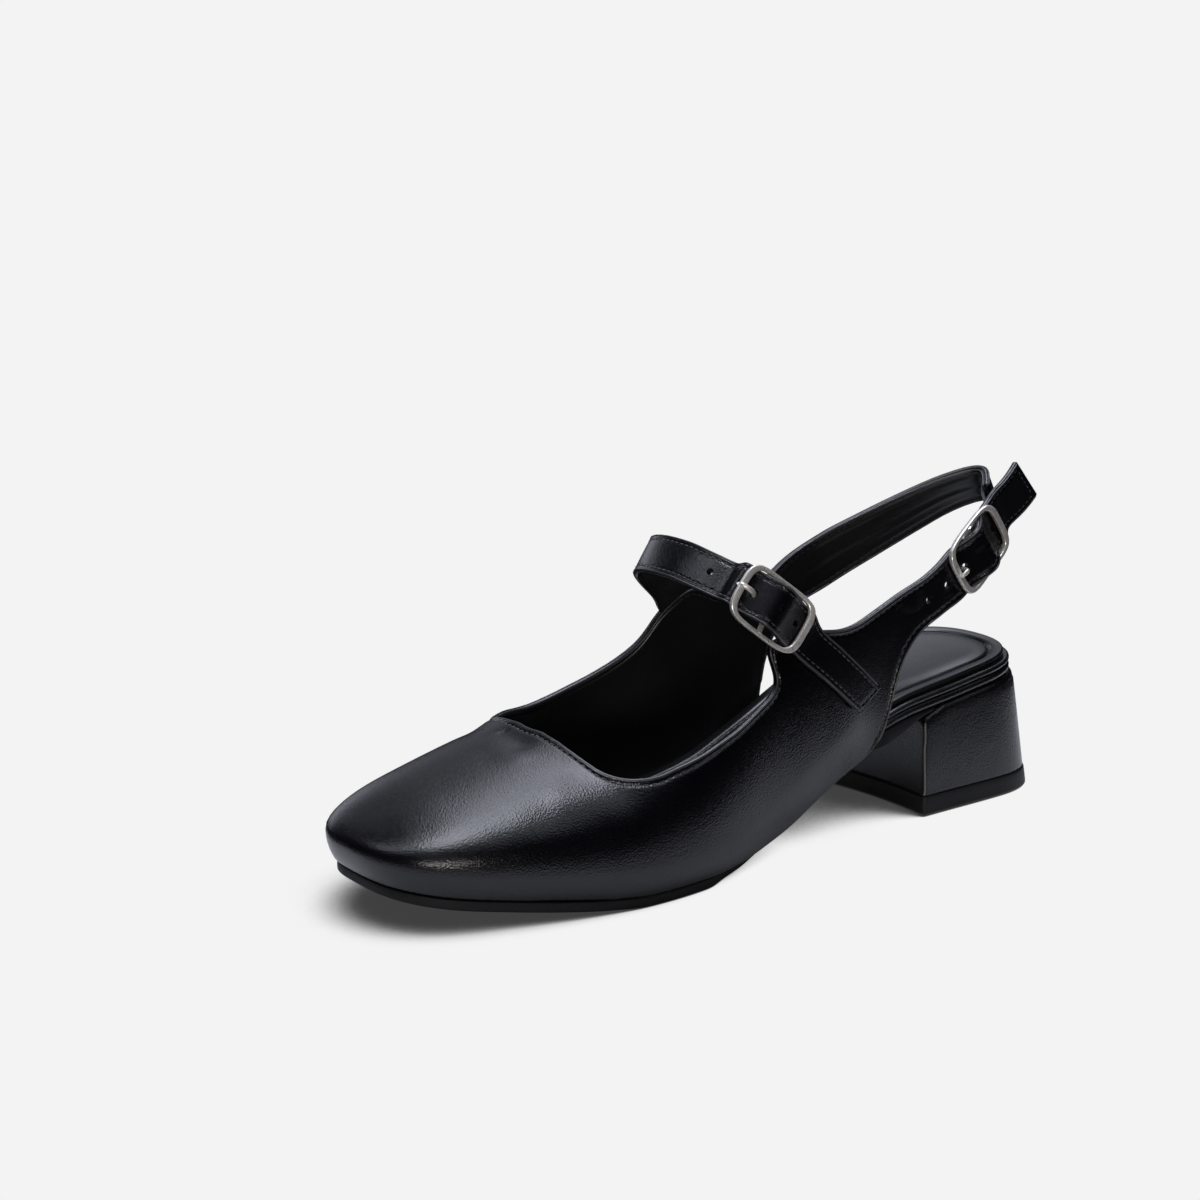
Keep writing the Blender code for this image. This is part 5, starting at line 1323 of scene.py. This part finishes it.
def plate(name, loop, axis, side, top_z, top_d, bottom_z, mats, bottom_d=(1.5, 6), slots=None):
    """closed form on a plan loop. side: rows of (outward offset, z) up the wall, z a function of (x, s).
    top_d: distances inward for the rings over the top, then the rest is filled to the axis"""
    N = loop_normals(loop); sa = np.clip(loop[:, 1], axis[0], axis[1]); A = np.stack([axis_x(sa), sa], -1)
    far = np.linalg.norm(loop - A, axis=1)
    rings = []

    def inward(d, base, z):
        t = np.minimum(d / far, 1.0)
        # leave along the normal, arrive along the line to the axis
        P = base * (1 - t)[:, None] + A * t[:, None]
        return np.column_stack([P, z(P[:, 0], P[:, 1], t, np.full(len(P), d))])
    b0 = loop + N * side[0][0]
    for f in (1.0, .75, .5, .25):
        rings.append(inward(f * far * .999 if f == 1.0 else f * far, b0, lambda x, s, t, d: bottom_z(x, s)))
    for d in sorted(bottom_d, reverse=True):
        rings.append(inward(np.full(len(loop), d), b0, lambda x, s, t, dd: bottom_z(x, s)))
    for out, z in side:
        P = loop + N * out; rings.append(np.column_stack([P, z(P[:, 0], P[:, 1])]))
    t0 = loop + N * side[-1][0]; n_side = len(rings)
    for d in top_d:
        rings.append(inward(np.full(len(loop), d), t0, top_z))
    d0 = top_d[-1]
    for f in (.12, .25, .38, .52, .66, .8, .92, .999):
        rings.append(inward(d0 + (far - d0) * f, t0, top_z))
    V = np.array(rings); nr, n = V.shape[:2]
    i = np.arange((nr - 1) * n); a = i // n * n + i % n; b = i // n * n + (i % n + 1) % n
    F = np.stack([a, b, b + n, a + n], 1).tolist()
    slot = None
    if slots:
        slot = [1 if k >= n_side else 0 for k in (i // n)]
    return solid(name, world(V.reshape(-1, 3)), F, mats, slot, sharp=55)


def rounded_side(h0, h1, out, r0, r1, z_low, z_high, n=5, waist=()):
    """wall rows from a rounded bottom edge to a rounded top edge"""
    rows = []
    for a in np.linspace(0, math.pi / 2, n):
        rows.append((out - r0 * (1 - math.sin(a)), (lambda x, s, q=r0 * (1 - math.cos(a)): z_low(x, s) + q)))
    for off, f in waist:
        rows.append((out + off, (lambda x, s, f=f: (z_low(x, s) + r0) * (1 - f) + (z_high(x, s) - r1) * f)))
    for a in np.linspace(0, math.pi / 2, n):
        rows.append((out - r1 * (1 - math.cos(a)), (lambda x, s, q=r1 * (1 - math.sin(a)): z_high(x, s) - q)))
    return rows


dense_seat = SEAT_BACK + SEAT_R * (1 - np.cos(np.linspace(0, math.pi / 2, 60)) ** (2 / SEAT_N))
dense_toe = lambda inset: LEN - inset - ((TOE_R - inset) * (1 - np.cos(np.linspace(0, math.pi / 2, 60)) ** (2 / TOE_N)))[::-1]

# outsole
lo_s = np.concatenate([np.linspace(49.5, 216, 160), dense_toe(.8)])
loop = outline_loop(lo_s, sole_inset)
sole_top = lambda x, s: feather(s) + .05
sole_bot = lambda x, s: ground(s)
sole = plate('outsole_rubber', loop, (62, 219), rounded_side(0, 0, 0, .55, .5, sole_bot, sole_top, waist=((.04, .5),)),
             lambda x, s, t, d: feather(s) + .05, (1.0, 3.0), sole_bot, [SOLE_MAT])
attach(sole, 'root'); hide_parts('outsole')

# platform: board wrapped in leather, with two rolled lines round its edge
bd_s = np.concatenate([dense_seat, np.linspace(31, 214, 150), dense_toe(2.4)])
loop = outline_loop(bd_s, board_inset)
z0 = lambda x, s: feather(s) + .12
zt = lambda x, s: feather(s) + BOARD_TOP(s)
hgt = lambda s: BOARD_TOP(s) - .12
ROLL = [(-2.3, 0.0), (-1.5, .01), (-.7, .05), (-.2, .12), (.02, .2), (.08, .3), (.02, .40), (-.2, .49), (-.5, .54), (-.95, .565), (-1.1, .585), (-.95, .605),
        (-.45, .63), (-.18, .68), (-.04, .76), (-.04, .85), (-.2, .93), (-.5, .98), (-.95, 1.0)]
wall_rows = [(o_, (lambda x, s, f=f: z0(x, s) + hgt(s) * f)) for o_, f in ROLL]


def board_dish(x, s, t, d):
    return zt(x, s) - DISH(s) * (1 - (1 - t) ** 2)


board = plate('platform_wrap', loop, (31, 219), wall_rows, board_dish, (.6, 1.4, 3.0), z0, [WRAP])
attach(board, 'root'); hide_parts('insole_board')

# padded sock: rolled rim, stitched channel, soft cup
sk_s = np.concatenate([SEAT_BACK + 2 + (SEAT_R - 2) * (1 - np.cos(np.linspace(0, math.pi / 2, 60)) ** (2 / SEAT_N)), np.linspace(31, 214, 150), dense_toe(3.6)])
loop = outline_loop(sk_s, lambda s: 2.0 + .6 * float(step01(s, 71, 78)) - .9 * float(step01(s, 88, 102)))
CH = 4.3


def sock_base(x, s, t=0.0):
    return feather(s) + BOARD_TOP(s) - DISH(s) * (1 - (1 - t) ** 2) + GAP


def sock_top(x, s, t, d):
    th = SOCK_T(s)
    p = th * (.80 + .46 * step01(d, CH - .3, CH + 5)) + .14 * np.exp(-((d - CH / 2) / 1.4) ** 2) - 1.05 * np.exp(-((d - CH) / .62) ** 2) * th / 2.4
    edge_r = .75; p = p - np.where(d < edge_r, edge_r - np.sqrt(np.maximum(edge_r ** 2 - (edge_r - d) ** 2, 0)), 0)
    return sock_base(x, s, t) + p


side = [(-.5, lambda x, s: sock_base(x, s)), (-.12, lambda x, s: sock_base(x, s) + .08), (0, lambda x, s: sock_base(x, s) + .3),
        (.03, lambda x, s: sock_base(x, s) + SOCK_T(s) * .8 - .75)]
sock = plate('sock_pad', loop, (31, 219), side, sock_top, (.03, .1, .22, .4, .6, .8, 1.2, 1.7, 2.3, 2.9, 3.4, 3.8, 4.05, 4.3, 4.55, 4.8, 5.3, 6.0, 7.2, 8.6, 10.5),
             lambda x, s: sock_base(x, s), [SOCK_MAT], bottom_d=(1.0, 4.0))
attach(sock, 'root'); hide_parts('insole_sock')
# its stitches
Nl = loop_normals(loop); sa = np.clip(loop[:, 1], 31, 219); A = np.stack([axis_x(sa), sa], -1); far = np.linalg.norm(loop - A, axis=1)
t = CH / far; base = loop * (1 - t)[:, None] + A * t[:, None]
z = sock_top(base[:, 0], base[:, 1], t, np.full(len(t), CH))
line = world(np.column_stack([base, z])); line = np.concatenate([line, line[:1]])
st = Bag(); st.seam(line, np.tile([0, 0, 1.0], (len(line), 1)), pitch=2.7, length=1.9, r=.24, lift=.12)
so = st.make('sock_stitches', [THREAD]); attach(so, 'root')


# ================================================================== heel
def heel_loop(z, inset=0.0, step=.5, passes=4, grow=0.0):
    v = float(np.clip(z / 36.0, 0, 1))
    back = HEEL_BACK + (SEAT_BACK - 1.2 - HEEL_BACK) * v ** 0.9
    flare = 1.6 * (1 - v) + 0.3
    nn = 2.5 + 0.9 * (1 - v)
    s = np.concatenate([back + SEAT_R * (1 - np.cos(np.linspace(0, math.pi / 2, 60)) ** (2 / nn)), np.linspace(back + SEAT_R, BREAST, 40)[1:]])
    hb = np.clip((back + SEAT_R - s) / SEAT_R, 0, 1); k = (1 - hb ** nn) ** (1 / nn)
    w = step01(s, 30, BREAST)
    lo = (med_x(s) - flare) * k; hi = (lat_x(s) + flare) * k
    Lo = np.stack([lo, s + w * (breast_s(lo) - BREAST)], -1); Hi = np.stack([hi, s + w * (breast_s(hi) - BREAST)], -1)
    xb = np.linspace(hi[-1], lo[-1], 60)[1:-1]
    front = np.stack([xb, breast_s(xb)], -1)
    P = np.concatenate([Hi, front, Lo[::-1]]); P = np.concatenate([P, P[:1]])
    a = along(np.column_stack([P, 0 * P[:, 0]])); n = 380
    q = np.linspace(0, a[-1], n, endpoint=False)
    P = even_loop(np.stack([np.interp(q, a, P[:, 0]), np.interp(q, a, P[:, 1])], -1), passes)
    return P + loop_normals(P) * (grow - inset)


def stack(name, rings, mats, sharp=50):
    """closed form from plan loops with heights, bottom to top; both ends are capped by shrinking rings"""
    R = []
    for ends, order in ((rings[0], 1), ):
        c = ends[:, :2].mean(0)
        for f in (.001, .3, .6, .85, .96):
            R.append(np.column_stack([c + (ends[:, :2] - c) * f, ends[:, 2]]))
    R += rings
    e = rings[-1]; c = e[:, :2].mean(0)
    for f in (.96, .85, .6, .3, .001):
        R.append(np.column_stack([c + (e[:, :2] - c) * f, block_top(c[0] + (e[:, 0] - c[0]) * f, c[1] + (e[:, 1] - c[1]) * f) if name != 'top_lift' else e[:, 2]]))
    V = np.array(R); nr, n = V.shape[:2]
    i = np.arange((nr - 1) * n); a = i // n * n + i % n; b = i // n * n + (i % n + 1) % n
    return solid(name, world(V.reshape(-1, 3)), np.stack([a, b, b + n, a + n], 1).tolist(), mats, sharp=sharp)


# the upper's lower edge turned in under the board on both sides
mb = Bag()
for sd in (1, -1):
    ms = np.linspace(81, 170, 120); mz = feather(ms) + .9
    xo = side_x(ms, mz, sd) - sd * .9; xi = (lat_x(ms) if sd > 0 else med_x(ms)) - sd * 6.0
    R = []
    for k in range(4):
        x_ = xo if k in (0, 3) else xi; z_ = mz + (.35 if k < 2 else -.35)
        R.append(world(np.stack([x_, ms, z_], -1)))
    V = np.stack(R, 1); n_ = len(ms)
    F = [(0, 1, 2, 3), tuple((n_ - 1) * 4 + k for k in (3, 2, 1, 0))] + [(i * 4 + k, i * 4 + (k + 1) % 4, (i + 1) * 4 + (k + 1) % 4, (i + 1) * 4 + k) for i in range(n_ - 1) for k in range(4)]
    mb.add(V.reshape(-1, 3), F)
mo = mb.make('turned_in_edge', [LINING]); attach(mo, 'root')

z_low = LIFT_H + GAP


def cover_top(x, s):
    """top of the heel cover, turned down at its two front corners"""
    c = axis_x(s); hw = np.where(x > c, lat_x(s) - c, c - med_x(s))
    edge = step01(np.abs(x - c) / hw, .82, 1.0); q = np.clip((s - (BREAST - 5.5)) / 6.0, 0, 1)
    return block_top(x, s) - 2.2 * edge * (1 - np.sqrt(1 - q * q * .998))


rings = []
for a in np.linspace(0, math.pi / 2, 4):
    z = z_low + .35 * (1 - math.cos(a)); P = heel_loop(z, .35 * (1 - math.sin(a))); rings.append(np.column_stack([P, np.full(len(P), z)]))
for f in np.linspace(.03, .9, 16):
    P = heel_loop(z_low + (36 - z_low) * f); zz = z_low + (cover_top(P[:, 0], P[:, 1]) - z_low) * f; rings.append(np.column_stack([P, zz]))
RT = 2.2
for a in np.linspace(0, math.pi / 2, 8):
    P = heel_loop(36, RT * (1 - math.cos(a))); rings.append(np.column_stack([P, cover_top(P[:, 0], P[:, 1]) - RT * (1 - math.sin(a)) * .9]))
heel = stack('heel_cover', rings, [HEEL_MAT])
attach(heel, 'root'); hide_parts('heel_block')
st = Bag()
for side_s in (1, -1):
    pts = []
    for z in np.linspace(LIFT_H + .5, 33.6, 44):
        P = heel_loop(z, -.02); front = P[P[:, 1] > 50]
        j = np.argmax(front[:, 0] * side_s + front[:, 1] * .9); top = float(cover_top(front[j, 0], front[j, 1]))
        pts.append([front[j, 0], front[j, 1], z_low + (top - z_low) * (z - z_low) / (36 - z_low)])
    pts = even(np.array(pts), 6); W = world(pts)
    st.tube(W, np.tile(unit(np.array([side_s, -1.0, 0])), (len(W), 1)), .22, .30, 8)
so = st.make('heel_seam', [RAW]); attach(so, 'root')

rings = []
for z, ins in ((0.0, .55), (.12, .3), (.45, .05), (1.0, -.05), (3.2, -.1), (LIFT_H - .5, -.1), (LIFT_H - .15, 0.02), (LIFT_H, .25)):
    P = heel_loop(min(z, LIFT_H), ins, grow=.2); rings.append(np.column_stack([P, np.full(len(P), z)]))
lift_o = stack('top_lift', rings, [LIFT_MAT])
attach(lift_o, 'root'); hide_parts('heel_top_lift')


# ================================================================== stage, light, camera
def stage_floor(albedo):
    me = bpy.data.meshes.new('floor'); s = 6.0
    me.from_pydata([(-s, -s, 0), (s, -s, 0), (s, s, 0), (-s, s, 0)], [], [(0, 1, 2, 3)])
    o = bpy.data.objects.new('floor', me); bpy.context.scene.collection.objects.link(o)
    o.location.z = -.0003
    m = bpy.data.materials.new('pale_floor'); m.use_nodes = True; nt = m.node_tree; nt.nodes.clear(); L = nt.links
    out = nt.nodes.new('ShaderNodeOutputMaterial'); tc = nt.nodes.new('ShaderNodeTexCoord')
    # contact shadow, falling a little towards the toe
    ao = nt.nodes.new('ShaderNodeAmbientOcclusion'); ao.samples = 24; ao.inputs['Distance'].default_value = .055
    ao.inputs['Normal'].default_value = tuple(unit((.34, .52, .78)))
    lean = nt.nodes.new('ShaderNodeCombineXYZ'); lean.inputs[0].default_value, lean.inputs[1].default_value, lean.inputs[2].default_value = unit((.34, .52, .78))
    L.new(lean.outputs[0], ao.inputs['Normal'])
    soft = rng(nt, ao.outputs['AO'], .27, .62, .05, .896, True)
    seen = nt.nodes.new('ShaderNodeEmission'); L.new(soft.outputs[0], seen.inputs['Color'])
    # the lit patch of table under the shoe, as the shoe itself sees it
    of = node(nt, 'ShaderNodeVectorMath', operation='SUBTRACT'); L.new(tc.outputs['Object'], of.inputs[0]); of.inputs[1].default_value = (0, .035, 0)
    ab = node(nt, 'ShaderNodeVectorMath', operation='ABSOLUTE'); L.new(of.outputs[0], ab.inputs[0])
    far = node(nt, 'ShaderNodeVectorMath', operation='SUBTRACT'); L.new(ab.outputs[0], far.inputs[0]); far.inputs[1].default_value = (0, .13, 0)
    cl = node(nt, 'ShaderNodeVectorMath', operation='MAXIMUM'); L.new(far.outputs[0], cl.inputs[0]); cl.inputs[1].default_value = (0, 0, 0)
    ln = node(nt, 'ShaderNodeVectorMath', operation='LENGTH'); L.new(cl.outputs[0], ln.inputs[0])
    fade = rng(nt, ln.outputs['Value'], .07, .115, albedo, albedo * .03, True)
    glow = nt.nodes.new('ShaderNodeBsdfDiffuse'); L.new(fade.outputs[0], glow.inputs['Color'])
    lp = nt.nodes.new('ShaderNodeLightPath'); mx = nt.nodes.new('ShaderNodeMixShader')
    L.new(lp.outputs['Is Camera Ray'], mx.inputs[0]); L.new(glow.outputs[0], mx.inputs[1]); L.new(seen.outputs[0], mx.inputs[2])
    L.new(mx.outputs[0], out.inputs['Surface'])
    me.materials.append(m)


stage_floor(.70)
w = bpy.data.worlds.new('studio'); bpy.context.scene.world = w; w.use_nodes = True
nt = w.node_tree; nt.nodes.clear(); L = nt.links
out = nt.nodes.new('ShaderNodeOutputWorld'); tc = nt.nodes.new('ShaderNodeTexCoord'); lp = nt.nodes.new('ShaderNodeLightPath')


def toward(v):
    d = node(nt, 'ShaderNodeVectorMath', operation='DOT_PRODUCT'); L.new(tc.outputs['Generated'], d.inputs[0]); d.inputs[1].default_value = tuple(unit(v))
    return d.outputs['Value']


# soft panels round the table: azimuth, height, inner and outer angle in degrees, strength
PANELS = [(138, 57, 5, 21, 3.3), (133, 40, 3, 20, .55), (150, 26, 4, 34, .26), (174, 5, 3, 20, .9), (-136, 53, 3, 17, 1.9), (-112, 58, 3, 17, .5),
          (32, 57, 4, 22, .85), (39, 40, 3, 18, .2), (-39, 40, 3, 18, .35), (-60, 56, 4, 18, .35), (-27, 25, 3, 16, .2)]
total = None
for az, el, inner, outer, strength in PANELS:
    a_, e_ = math.radians(az), math.radians(el)
    d = toward((math.cos(a_) * math.cos(e_), math.sin(a_) * math.cos(e_), math.sin(e_)))
    one = rng(nt, d, math.cos(math.radians(outer)), math.cos(math.radians(inner)), 0, strength, True)
    total = one.outputs[0] if total is None else maths(nt, 'ADD', total, one.outputs[0]).outputs[0]
amb = maths(nt, 'ADD', total, .002)
tint = node(nt, 'ShaderNodeVectorMath', operation='SCALE'); tint.inputs[0].default_value = (.95, .98, 1.12); L.new(amb.outputs[0], tint.inputs['Scale'])
bg1 = nt.nodes.new('ShaderNodeBackground'); L.new(tint.outputs[0], bg1.inputs['Color'])
bg2 = nt.nodes.new('ShaderNodeBackground'); bg2.inputs['Color'].default_value = (.896, .896, .896, 1)
mx = nt.nodes.new('ShaderNodeMixShader'); L.new(lp.outputs['Is Camera Ray'], mx.inputs[0]); L.new(bg1.outputs[0], mx.inputs[1]); L.new(bg2.outputs[0], mx.inputs[2])
L.new(mx.outputs[0], out.inputs['Surface'])


def aim(o, d):
    o.rotation_mode = 'QUATERNION'; o.rotation_quaternion = (-Vector(d)).to_track_quat('-Z', 'Y')


def softbox(name, at, look, size, power, colour=(1, 1, 1)):
    l = bpy.data.lights.new(name, 'AREA'); l.shape = 'RECTANGLE'; l.size, l.size_y = size; l.energy = power; l.color = colour
    o = bpy.data.objects.new(name, l); bpy.context.scene.collection.objects.link(o)
    o.location = at; aim(o, Vector(at) - Vector(look)); o.visible_camera = False
    return o


# one broad overhead lamp, the same over the whole table, and a small low one before the toe
sun = bpy.data.lights.new('overhead', 'SUN'); sun.angle = math.radians(34); sun.energy = 1.95; sun.color = (.94, .97, 1.10)
so = bpy.data.objects.new('overhead', sun); bpy.context.scene.collection.objects.link(so); aim(so, (-.02, .02, 1.0))
softbox('low_front', (1.10, -.78, .165), (.02, -.1, .02), (.80, .12), 5.0, (1.0, .94, .88))

AZ, EL, DIST, ROLL_DEG = 52.82, 13.45, .8, .58
TARGET = (np.array([-133.21, 60.34, 39.3]) - SHIFT) * MM
a, e = math.radians(AZ), math.radians(EL)
back = Vector((math.sin(a) * math.cos(e), -math.cos(a) * math.cos(e), math.sin(e)))
right = Vector((math.cos(a), math.sin(a), 0)); up = back.cross(right)
r = math.radians(ROLL_DEG)
right, up = right * math.cos(r) + up * math.sin(r), up * math.cos(r) - right * math.sin(r)
cam_data = bpy.data.cameras.new('camera'); cam = bpy.data.objects.new('camera', cam_data); bpy.context.scene.collection.objects.link(cam)
cam_data.sensor_width = 36.0; cam_data.lens = 36.0 * 2194.58 / 1200.0; cam_data.clip_start = .05; cam_data.clip_end = 60.0
Mx = Matrix((right, up, back)).transposed().to_4x4(); Mx.translation = Vector(TARGET) + back * DIST
cam.matrix_world = Mx
bpy.context.scene.camera = cam
bpy.context.scene.view_settings.view_transform = 'Standard'

import json
